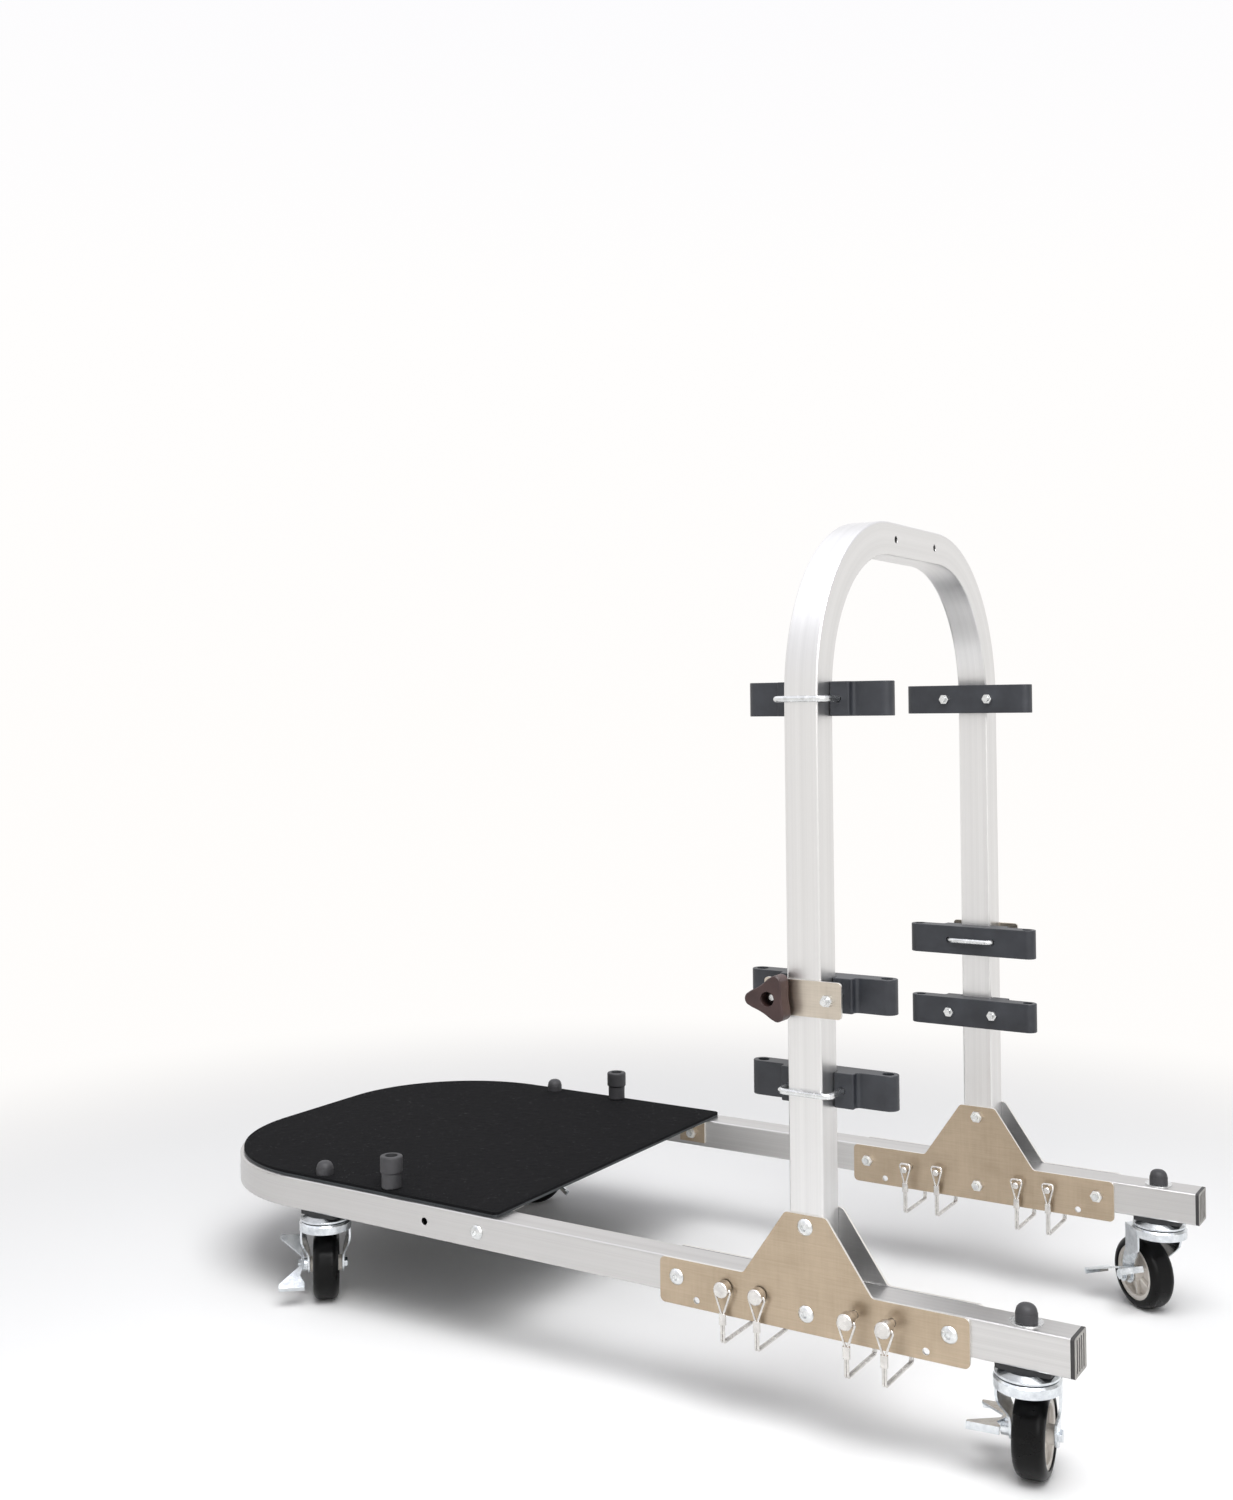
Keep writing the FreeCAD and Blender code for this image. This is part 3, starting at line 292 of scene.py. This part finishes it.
GUSSET_TONES, GUSSET_ROUGHNESS = ((0.39, 0.31, 0.22), (0.57, 0.465, 0.35)), 0.38
CLAMP_TONES, CLAMP_ROUGHNESS = ((0.50, 0.445, 0.37), (0.72, 0.65, 0.56)), 0.30
# Grey for faces that look at the other plate: a painted reflection of the shade between the plates
GAP_REFLECTION_TONES = (0.40, 0.58)
# Sheared edges are paler, partly the cut's own finish and partly a painted highlight
SHEARED_EDGE_AND_HIGHLIGHT = (0.80, 0.78, 0.74, 1)
BRUSH_LINES, CROSS_LINES, STAINS = (800.0, 5.0, 0.7), (420.0, 3.0, 0.6), (22.0, 4.0, 0.6)
BRUSH_STRETCH, CROSS_STRETCH = 0.02, 0.05
LINE_SHARES, STAIN_SHARES = (0.7, 0.3), (0.55, 0.45)
STEEL_DRIFT = (-0.08, 0.1)
STEEL_RELIEF = (0.00008, 0.6, 0.0007)

ZINC_TONES, ZINC_ROUGHNESS = ((0.60, 0.61, 0.61), (0.84, 0.85, 0.85)), 0.25
PIN_TONES = (0.56, 0.54, 0.52), (0.80, 0.78, 0.75)
FORK_TONES, FORK_ROUGHNESS = ((0.56, 0.59, 0.62), (0.80, 0.83, 0.85)), 0.22
POLISHED_ROUGHNESS = 0.24
BLOOM, SPECKS = (130.0, 4.0, 0.6), (900.0, 2.0)
SPECK_HEIGHT = 0.08
ZINC_DRIFT = (-0.07, 0.1)
ZINC_RELIEF = (0.0004, 0.7, 0.0005)
M8_PITCH, QUARTER_INCH_PITCH = 0.00125, 0.00127
NO_END = 1.0

NUT_SHOULDER = 0.0055
NUT_TONES, NYLON = ((0.66, 0.66, 0.67), (0.86, 0.86, 0.87)), (0.78, 0.78, 0.74, 1)
NUT_BLOOM, NUT_ROUGHNESS = (140.0, 4.0, 0.6), (0.22, 0.42)
NUT_RELIEF = (0.0001, 0.5, 0.0005)


def brushed_steel(name, tones, rough, facing_gap=0):
    """Rolled plate with brush lines along X, cloudy stains, and sheared edges that are paler, partly for the
    cut's own finish and partly as a painted highlight.

    facing_gap is 1 or -1 where the face away from or towards the middle faces another plate and is greyer, a
    painted reflection of the shade between the plates.
    """
    made, tree, shader = new_material(name)
    x, y, z = position(tree)
    brushed = noise(tree, vector(tree, calc(tree, "MULTIPLY", x, BRUSH_STRETCH), y, z), *BRUSH_LINES)
    crossed = noise(tree, vector(tree, x, y, calc(tree, "MULTIPLY", z, CROSS_STRETCH)), *CROSS_LINES)
    cloudy = noise(tree, vector(tree, x, y, z), *STAINS)
    lines = weighted(tree, LINE_SHARES, brushed, crossed)
    mixed = weighted(tree, STAIN_SHARES, lines, cloudy)
    facing = normal(tree)[1]
    # Edge faces take the paler colour: partly the cut's finish, partly painted highlight
    sheared_and_highlit = calc(tree, "LESS_THAN", calc(tree, "ABSOLUTE", facing), FACING)
    colour = tint(tree, sheared_and_highlit, tone(tree, mixed, tones, WIDE_STOPS), SHEARED_EDGE_AND_HIGHLIGHT)
    if facing_gap:
        outward = calc(tree, "MULTIPLY", facing, calc(tree, "SIGN", y))
        # Faces that look at the other plate get a painted reflection of the shade between the plates
        gap_reflection = calc(tree, "GREATER_THAN", calc(tree, "MULTIPLY", outward, facing_gap), FACING)
        colour = tint(tree, gap_reflection, colour, tone(tree, mixed, GAP_REFLECTION_TONES, WIDE_STOPS))
    connect(tree, shader, Base_Color=colour, Metallic=1.0,
            Roughness=drifting(tree, mixed, rough, STEEL_DRIFT), Normal=relief(tree, lines, *STEEL_RELIEF))
    return made


def plated(name, tones, rough, thread=None):
    """Zinc plate with a cloudy bloom.

    thread is a screw thread's pitch and the distances of its two ends from the middle of the dolly.
    """
    made, tree, shader = new_material(name)
    x, y, z = position(tree)
    place = vector(tree, x, y, z)
    bloom = noise(tree, place, *BLOOM)
    height = calc(tree, "MULTIPLY", noise(tree, place, *SPECKS), SPECK_HEIGHT)
    if thread:
        pitch, inner, outer = thread
        side = calc(tree, "ABSOLUTE", y)
        turns = calc(tree, "PINGPONG", side, pitch / 2)
        ridge = calc(tree, "DIVIDE", turns, pitch / 2)
        inside = calc(tree, "GREATER_THAN", side, inner)
        until = calc(tree, "LESS_THAN", side, outer)
        cut = calc(tree, "MULTIPLY", ridge, calc(tree, "MULTIPLY", inside, until))
        height = calc(tree, "ADD", height, cut)
    connect(tree, shader, Base_Color=tone(tree, bloom, tones), Metallic=1.0,
            Roughness=drifting(tree, bloom, rough, ZINC_DRIFT), Normal=relief(tree, height, *ZINC_RELIEF))
    return made


def lock_nut_metal(name):
    """Zinc-plated nut with the pale nylon ring in its collar."""
    made, tree, shader = new_material(name)
    x, y, z = position(tree)
    bloom = noise(tree, vector(tree, x, y, z), *NUT_BLOOM)
    ring = calc(tree, "LESS_THAN", calc(tree, "ABSOLUTE", y), inner_plate_y - NUT_SHOULDER)
    connect(tree, shader, Base_Color=tint(tree, ring, tone(tree, bloom, NUT_TONES), NYLON),
            Metallic=calc(tree, "SUBTRACT", 1.0, ring), Roughness=spread(tree, bloom, *NUT_ROUGHNESS),
            Normal=relief(tree, bloom, *NUT_RELIEF))
    return made


# Plastics, rubber and felt

# Tones, roughness, grain's scale and depth, radius of the soft edges, and gloss
MOULDED = {
    "bar_plastic": (((0.018, 0.020, 0.025), (0.036, 0.039, 0.047)), 0.42, 900.0, 0.00008, 0.0012, 0.5),
    "knob_plastic": (((0.034, 0.016, 0.015), (0.066, 0.034, 0.032)), 0.40, 900.0, 0.00008, 0.0012, 0.5),
    "pad_plastic": (((0.014, 0.014, 0.015), (0.030, 0.030, 0.031)), 0.55, 700.0, 0.0001, 0.0006, 0.5),
    "post_rubber": (((0.026, 0.026, 0.029), (0.055, 0.054, 0.058)), 0.55, 600.0, 0.00012, 0.0008, 0.5),
    "board_edge": (((0.012, 0.015, 0.018), (0.035, 0.042, 0.046)), 0.5, 500.0, 0.0001, 0.0004, 0.5),
    "tyre_rubber": (((0.003, 0.003, 0.003), (0.007, 0.007, 0.007)), 0.28, 500.0, 0.00006, 0.0008, 0.14),
    "core_plastic": (((0.58, 0.54, 0.49), (0.78, 0.74, 0.69)), 0.40, 600.0, 0.00008, 0.0008, 0.5),
    "dark_fibre": (((0.006, 0.006, 0.007), (0.018, 0.018, 0.019)), 0.8, 900.0, 0.00002, 0, 0.2),
    "pale_fibre": (((0.05, 0.05, 0.053), (0.15, 0.15, 0.155)), 0.8, 900.0, 0.00002, 0, 0.2),
}
GRAIN_DETAIL = (3.0, 0.6)
GRAIN_STRENGTH = 0.6
COLOUR_DRIFT = (28.0, 4.0, 0.55)
MOULDED_DRIFT = (-0.07, 0.09)

CAP_TONES = (0.022, 0.021, 0.021), (0.040, 0.038, 0.038)
# Paler tones for the cap's outer face, the one facing +X
FRONT_FACE_TONES = (0.25, 0.24, 0.22), (0.46, 0.44, 0.41)
SCUFFS, SCUFF_STRETCH = (160.0, 5.0, 0.7), 0.3
CAP_GRAIN, CAP_ROUGHNESS = (700.0, 3.0, 0.6), (0.4, 0.6)
CAP_RELIEF = (0.0001, 0.6, 0.0007)

FELT_FIBRES, FELT_MATS, FELT_PATCHES = (750.0, 6.0, 0.75), (95.0, 4.0, 0.6), (11.0, 3.0)
FELT_STOPS = [(0.36, (0.003, 0.003, 0.004)), (0.60, (0.008, 0.008, 0.009)), (0.74, (0.050, 0.051, 0.054))]
FELT_WORN, FELT_WORN_SHARE = (0.012, 0.012, 0.013, 1), 0.3
FELT_HEIGHT_SHARES = (0.7, 0.5)
FELT_ROUGHNESS, FELT_GLOSS = (0.85, 1.0), 0.06
FELT_SHEEN, FELT_SHEEN_ROUGHNESS = 0.02, 0.5
FELT_RELIEF = (0.0012, 0.9)


def moulded(name):
    """Moulded plastic or rubber: fine grain, slight colour drift and soft moulded edges."""
    tones, rough, grain, grain_depth, edge, gloss = MOULDED[name]
    made, tree, shader = new_material(name)
    x, y, z = position(tree)
    place = vector(tree, x, y, z)
    pebbles = noise(tree, place, grain, *GRAIN_DETAIL)
    drift = noise(tree, place, *COLOUR_DRIFT)
    connect(tree, shader, Base_Color=tone(tree, drift, tones, WIDE_STOPS),
            Roughness=drifting(tree, drift, rough, MOULDED_DRIFT), Specular_IOR_Level=gloss,
            Normal=relief(tree, pebbles, grain_depth, GRAIN_STRENGTH, edge))
    return made


def pale_faced_cap(name):
    """Dark plastic cap whose ribbed outer face, the one facing +X, is a paler grey."""
    made, tree, shader = new_material(name)
    x, y, z = position(tree)
    scuffs = noise(tree, vector(tree, x, y, calc(tree, "MULTIPLY", z, SCUFF_STRETCH)), *SCUFFS)
    pebbles = noise(tree, vector(tree, x, y, z), *CAP_GRAIN)
    # Faces looking along +X take the paler tones
    outer = calc(tree, "GREATER_THAN", normal(tree)[0], FACING)
    colour = tint(tree, outer, tone(tree, scuffs, CAP_TONES), tone(tree, scuffs, FRONT_FACE_TONES))
    connect(tree, shader, Base_Color=colour, Roughness=spread(tree, scuffs, *CAP_ROUGHNESS),
            Normal=relief(tree, pebbles, *CAP_RELIEF))
    return made


def felt(name):
    """Black needle felt: matted fibres, pale flecks and a little sheen."""
    made, tree, shader = new_material(name)
    x, y, z = position(tree)
    place = vector(tree, x, y, z)
    fibres = noise(tree, place, *FELT_FIBRES)
    mats = noise(tree, place, *FELT_MATS)
    patches = spread(tree, noise(tree, place, *FELT_PATCHES), 0.0, FELT_WORN_SHARE)
    worn = tint(tree, patches, ramp(tree, fibres, FELT_STOPS), FELT_WORN)
    height = weighted(tree, FELT_HEIGHT_SHARES, fibres, mats)
    connect(tree, shader, Base_Color=worn, Roughness=spread(tree, fibres, *FELT_ROUGHNESS),
            Sheen_Weight=FELT_SHEEN, Sheen_Roughness=FELT_SHEEN_ROUGHNESS, Specular_IOR_Level=FELT_GLOSS,
            Normal=relief(tree, height, *FELT_RELIEF))
    return made


# Which piece has which material

def paint(material, *names):
    """Give CAD nodes their material."""
    for name in names:
        nodes[name].data.materials.clear()
        nodes[name].data.materials.append(material)


def paint_frame():
    """Materials of the tubes, plates and fasteners."""
    paint(aluminium("arch_aluminium", arch_lines, ARCH_TONES), "upright_arch")
    # The rear frame and the front rails take the darker tones as painted shade
    paint(aluminium("frame_aluminium", rear_lines, SHADED_RAIL_TONES), "rear_frame")
    paint(aluminium("rail_aluminium", rail_lines, SHADED_RAIL_TONES), "front_rail_right", "front_rail_left")
    paint(brushed_steel("outer_gusset_steel", GUSSET_TONES, GUSSET_ROUGHNESS, -1),
          "gusset_outer_right", "gusset_outer_left")
    paint(brushed_steel("inner_gusset_steel", GUSSET_TONES, GUSSET_ROUGHNESS, 1),
          "gusset_inner_right", "gusset_inner_left")
    paint(brushed_steel("bracket_steel", GUSSET_TONES, GUSSET_ROUGHNESS), "deck_brackets")
    paint(brushed_steel("clamp_steel", CLAMP_TONES, CLAMP_ROUGHNESS), "clamp_plate_right", "clamp_plate_left")
    bolt_thread = (M8_PITCH, 0.0, inner_plate_y)
    paint(plated("bolt_zinc", ZINC_TONES, POLISHED_ROUGHNESS, bolt_thread), "gusset_bolts", "bracket_bolts")
    u_bolt_thread = (QUARTER_INCH_PITCH, 0.0, bar_back_y)
    paint(plated("u_bolt_zinc", ZINC_TONES, ZINC_ROUGHNESS, u_bolt_thread), "u_bolts")
    clamp_thread = (QUARTER_INCH_PITCH, clamp_face_y, NO_END)
    paint(plated("clamp_zinc", ZINC_TONES, ZINC_ROUGHNESS, clamp_thread),
          "clamp_u_bolt_right", "clamp_u_bolt_left")
    paint(plated("zinc", ZINC_TONES, ZINC_ROUGHNESS),
          "u_bolt_nuts", "stem_washers", "stem_nuts", "post_bolts")
    pins = [name for name in nodes if name.startswith("lock_pin")]
    paint(plated("pin_zinc", PIN_TONES, POLISHED_ROUGHNESS), *pins)
    paint(lock_nut_metal("lock_nut_zinc"), "lock_nuts")


def paint_plastics():
    """Materials of the bars, knobs, caps, posts and deck board."""
    bars = [name for name in nodes if "_bar_" in name]
    paint(moulded("bar_plastic"), *bars)
    paint(moulded("knob_plastic"), "star_knob_right", "star_knob_left")
    paint(pale_faced_cap("cap_plastic"), "rail_end_caps")
    paint(moulded("pad_plastic"), "caster_pads")
    paint(moulded("post_rubber"), "deck_posts", "stem_caps")
    paint(moulded("board_edge"), "deck_board")


def paint_casters():
    """Materials of the stems, forks, levers, cores and tyres."""
    blue_zinc = plated("fork_zinc", FORK_TONES, FORK_ROUGHNESS)
    tyre = moulded("tyre_rubber")
    core = moulded("core_plastic")
    paint(blue_zinc, "caster_stems")
    for corner in ("front_right", "front_left", "rear_right", "rear_left"):
        paint(blue_zinc, f"fork_{corner}", f"brake_{corner}")
        paint(core, f"core_{corner}")
        paint(tyre, f"tyre_{corner}")


# Carpet

CARPET_STEP = 0.006
CARPET_EDGE = 0.0009
GRID_MARGIN_SHARE = 0.6
HOLE_EDGE_SHARE = 0.2
EDGE_SHARES = ((0.0, 1.0), (0.3, 0.3), (1.0, 0.0))
PILE_RISE = 0.00035
PILE_SCALE = 130.0
FRONT_CORNER = 0.007
LEAST_CORNER_STEPS = 4
HOLE_STEPS = 24
POST_HOLE, STEM_HOLE = 0.01055, 0.0053
SAME_PLACE = 1e-7
FIBRE_SEED = 11
FIBRE_COUNT = 7000
FIBRE_LENGTHS = (0.0025, 0.0065)
FIBRE_BOWS = (0.0002, 0.0007)
FIBRE_HALF_WIDTH = 0.00014
PALE_FIBRE_SHARE = 0.12


def arc_points(x, y, radius, start, turn, steps):
    """Points along an arc, both ends included."""
    angles = [math.radians(start + turn * i / steps) for i in range(steps + 1)]
    return [(x + radius * math.cos(angle), y + radius * math.sin(angle)) for angle in angles]


def carpet_outline(inset):
    """Points round the carpet's edge, drawn in by inset."""
    half = carpet_high.y - inset
    front, rear = carpet_high.x - inset, carpet_low.x + inset
    big = REAR_CORNER - inset
    small = FRONT_CORNER - inset
    corners = [(front - small, half - small, small, 0), (rear + big, half - big, big, 90),
               (rear + big, big - half, big, 180), (front - small, small - half, small, 270)]
    points = []
    for x, y, radius, start in corners:
        steps = max(LEAST_CORNER_STEPS, round(radius * math.pi / 2 / CARPET_STEP))
        points += arc_points(x, y, radius, start, 90, steps)
    return points


def carpet_holes():
    """Centre and radius of the holes for the posts' feet and the rear stems."""
    post_low, post_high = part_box("deck_posts")
    post_x, post_y = (post_low.x + post_high.x) / 2, post_high.y - (post_high.x - post_low.x) / 2
    stem_low, stem_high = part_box("caster_stems")
    stem_x = stem_low.x + stem_high.y - RAIL_Y
    places = ((post_x, post_y, POST_HOLE), (stem_x, RAIL_Y, STEM_HOLE))
    return [(x, side * y, radius) for x, y, radius in places for side in (-1, 1)]


def on_carpet(x, y, margin, holes):
    """Whether a place is on the carpet and at least margin from its edge and holes."""
    if x < carpet_low.x + margin or x > carpet_high.x - margin or abs(y) > carpet_high.y - margin:
        return False
    past_x, past_y = carpet_low.x + REAR_CORNER - x, abs(y) - carpet_high.y + REAR_CORNER
    if past_x > 0 and past_y > 0 and math.hypot(past_x, past_y) > REAR_CORNER - margin:
        return False
    return all(math.hypot(x - hole_x, y - hole_y) > radius + margin for hole_x, hole_y, radius in holes)


def carpet_grid(holes):
    """Places inside the carpet, in staggered rows."""
    row_step = CARPET_STEP * math.sqrt(3) / 2
    margin = CARPET_EDGE + CARPET_STEP * GRID_MARGIN_SHARE
    places = []
    for row in range(math.ceil((carpet_high.y - carpet_low.y) / row_step)):
        y = carpet_low.y + row * row_step
        for column in range(math.ceil((carpet_high.x - carpet_low.x) / CARPET_STEP)):
            x = carpet_low.x + (column + row % 2 / 2) * CARPET_STEP
            if on_carpet(x, y, margin, holes):
                places.append((x, y))
    return places


def flat_area(points):
    """Area inside a closed outline."""
    pairs = zip(points, points[1:] + points[:1])
    return abs(sum(a[0] * b[1] - b[0] * a[1] for a, b in pairs)) / 2


def edge_rings(mesh, outline):
    """Rings of vertices up a cut edge; outline(inset) gives the points of one ring."""
    rings = [[mesh.verts.new((x, y, carpet_low.z)) for x, y in outline(0.0)]]
    for inset, drop in EDGE_SHARES:
        height = carpet_high.z - drop * CARPET_EDGE
        rings.append([mesh.verts.new((x, y, height)) for x, y in outline(inset * CARPET_EDGE)])
    for lower, upper in zip(rings, rings[1:]):
        for i in range(len(lower)):
            j = (i + 1) % len(lower)
            mesh.faces.new((lower[i], lower[j], upper[j], upper[i]))
    return rings


def pile_height(x, y):
    """Rise and fall of the felt's top."""
    return carpet_high.z + PILE_RISE * field.noise(Vector((x, y, 0)) * PILE_SCALE)


def carpet_mesh(holes):
    """Felt sheet: rounded cut edges, holes, and a top that rises and falls with the matted pile."""
    mesh = bmesh.new()
    outlines = [carpet_outline]
    for x, y, radius in holes:
        outlines.append(lambda inset, x=x, y=y, radius=radius:
                        arc_points(x, y, radius + inset * HOLE_EDGE_SHARE, 0, 360, HOLE_STEPS)[:-1])
    places, edges, loops, bottom, top = [], [], [], [], []
    for outline in outlines:
        rings = edge_rings(mesh, outline)
        first, count = len(places), len(rings[0])
        places += outline(CARPET_EDGE)
        edges += [(first + i, first + (i + 1) % count) for i in range(count)]
        loops.append(range(first, first + count))
        bottom += rings[0]
        top += rings[-1]
    for x, y in carpet_grid(holes):
        places.append((x, y))
        bottom.append(mesh.verts.new((x, y, carpet_low.z)))
        top.append(mesh.verts.new((x, y, pile_height(x, y))))
    cut = geometry.delaunay_2d_cdt([Vector(place) for place in places], edges, [], 1, SAME_PLACE)
    names = [origins[0] for origins in cut[3]]
    for triangle in cut[2]:
        corners = [names[i] for i in triangle]
        if any(all(i in loop for i in corners) for loop in loops[1:]):
            continue
        mesh.faces.new([top[i] for i in corners])
        mesh.faces.new([bottom[i] for i in reversed(corners)])
    bmesh.ops.recalc_face_normals(mesh, faces=mesh.faces)
    return mesh


def fibre_mesh(holes):
    """Loose fibres on the felt: slivers with two tips and a raised waist."""
    draw = random.Random(FIBRE_SEED)
    mesh = bmesh.new()
    made = 0
    while made < FIBRE_COUNT:
        x, y = draw.uniform(carpet_low.x, carpet_high.x), draw.uniform(carpet_low.y, carpet_high.y)
        length, bow = draw.uniform(*FIBRE_LENGTHS), draw.uniform(*FIBRE_BOWS)
        heading, pale = draw.uniform(0, math.pi), draw.random() < PALE_FIBRE_SHARE
        if not on_carpet(x, y, CARPET_EDGE + length / 2, holes):
            continue
        along = Vector((math.cos(heading), math.sin(heading), 0)) * length / 2
        beside = Vector((-math.sin(heading), math.cos(heading), 0)) * FIBRE_HALF_WIDTH
        foot = Vector((x, y, pile_height(x, y)))
        lift = Vector((0, 0, bow))
        tips = [mesh.verts.new(foot - along), mesh.verts.new(foot + along)]
        waist = [mesh.verts.new(foot + lift + offset)
                 for offset in (beside, -beside, Vector((0, 0, FIBRE_HALF_WIDTH)))]
        for i in range(len(waist)):
            a, b = waist[i], waist[(i + 1) % len(waist)]
            for face in (mesh.faces.new((tips[0], a, b)), mesh.faces.new((tips[1], b, a))):
                face.material_index = int(pale)
        made += 1
    bmesh.ops.recalc_face_normals(mesh, faces=mesh.faces)
    return mesh


def add_piece(name, mesh, materials):
    """A new piece on the frame from a bmesh."""
    data = bpy.data.meshes.new(name)
    mesh.to_mesh(data)
    mesh.free()
    for material in materials:
        data.materials.append(material)
    piece = bpy.data.objects.new(name, data)
    bpy.context.scene.collection.objects.link(piece)
    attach(piece, "frame")
    return piece


def add_carpet():
    """The felt and its loose fibres, in place of the plain carpet."""
    holes = carpet_holes()
    carpet = add_piece("carpet", carpet_mesh(holes), [felt("felt")])
    fibres = add_piece("carpet_fibres", fibre_mesh(holes), [moulded("dark_fibre"), moulded("pale_fibre")])
    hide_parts("deck_carpet")
    area = flat_area(carpet_outline(0.0)) - sum(math.pi * radius ** 2 for _, _, radius in holes)


# Studio

LEVEL_FOR_DIFFUSE = 0.26
SKY_STOPS = [(0.0, (1.0, 0.985, 0.97)), (0.25, (1.0, 0.99, 0.985)), (1.0, (0.91, 0.92, 1.0))]
FADE_START, FADE_END = 0.9, 1.9
FLOOR_SIZE = 40.0
FLOOR_CLOUDS, FLOOR_TONES = (1.2, 2.0), (0.96, 0.98)
FLOOR_ROUGHNESS, FLOOR_GLOSS = 0.7, 0.2
# Name, place, size and power; the key stands where the arch's outer bend doesn't mirror it
LAMPS = (("key", (1.2, -1.3, 3.2), 2.2, 108), ("fill", (2.6, -2.2, 1.8), 1.6, 20),
         ("overhead", (-1.0, 0.0, 3.6), 5.0, 28))
LAMP_AIM = Vector((0, 0, 0.4))


def seen_directly(tree):
    """1 for rays from the camera, reflections and glass, which show the white surroundings."""
    path = add(tree, "ShaderNodeLightPath").outputs
    return calc(tree, "MAXIMUM", calc(tree, "MAXIMUM", path["Is Camera Ray"], path["Is Glossy Ray"]),
                path["Is Transmission Ray"])


def add_world():
    """White surroundings, a little warm at the horizon and cool overhead."""
    world = bpy.data.worlds.new("studio")
    bpy.context.scene.world = world
    world.use_nodes = True
    tree = world.node_tree
    direction = add(tree, "ShaderNodeTexCoord").outputs["Generated"]
    height = add(tree, "ShaderNodeSeparateXYZ", {0: direction}).outputs[2]
    backdrop = tree.nodes["Background"]
    tree.links.new(ramp(tree, height, SKY_STOPS), backdrop.inputs["Color"])
    tree.links.new(spread(tree, seen_directly(tree), LEVEL_FOR_DIFFUSE, 1.0), backdrop.inputs["Strength"])


def add_floor():
    """A wide pale floor that takes the shadow and fades into the white surroundings."""
    made, tree, shader = new_material("floor")
    x, y, z = position(tree)
    mottled = noise(tree, vector(tree, x, y, z), *FLOOR_CLOUDS)
    connect(tree, shader, Base_Color=tone(tree, mottled, FLOOR_TONES), Roughness=FLOOR_ROUGHNESS,
            Specular_IOR_Level=FLOOR_GLOSS)
    reach = calc(tree, "SQRT", calc(tree, "ADD", calc(tree, "MULTIPLY", x, x), calc(tree, "MULTIPLY", y, y)))
    inputs = {"Value": reach, "From Min": FADE_START, "From Max": FADE_END}
    far = add(tree, "ShaderNodeMapRange", inputs, interpolation_type="SMOOTHSTEP").outputs[0]
    white = add(tree, "ShaderNodeEmission", {"Color": SKY_STOPS[0][1] + (1,), "Strength": 1.0}).outputs[0]
    blend = add(tree, "ShaderNodeMixShader", {0: calc(tree, "MULTIPLY", far, seen_directly(tree)),
                                              1: shader.outputs[0], 2: white}).outputs[0]
    tree.links.new(blend, tree.nodes["Material Output"].inputs["Surface"])
    data = bpy.data.meshes.new("floor")
    corners = [(a * FLOOR_SIZE, b * FLOOR_SIZE, 0) for a, b in ((-1, -1), (1, -1), (1, 1), (-1, 1))]
    data.from_pydata(corners, [], [(0, 1, 2, 3)])
    data.materials.append(made)
    floor = bpy.data.objects.new("floor", data)
    bpy.context.scene.collection.objects.link(floor)


def add_light(name, place, size, power):
    """A square soft light that faces the object."""
    data = bpy.data.lights.new(name, "AREA")
    data.energy = power
    data.size = size
    light = bpy.data.objects.new(name, data)
    bpy.context.scene.collection.objects.link(light)
    light.location = place
    light.rotation_mode = "QUATERNION"
    light.rotation_quaternion = (LAMP_AIM - Vector(place)).to_track_quat("-Z", "Y")


def add_studio():
    """Floor, surroundings and soft lights."""
    add_world()
    add_floor()
    for lamp in LAMPS:
        add_light(*lamp)
    bpy.context.scene.view_settings.view_transform = "Standard"


add_camera()
paint_frame()
paint_plastics()
paint_casters()
add_carpet()
add_studio()
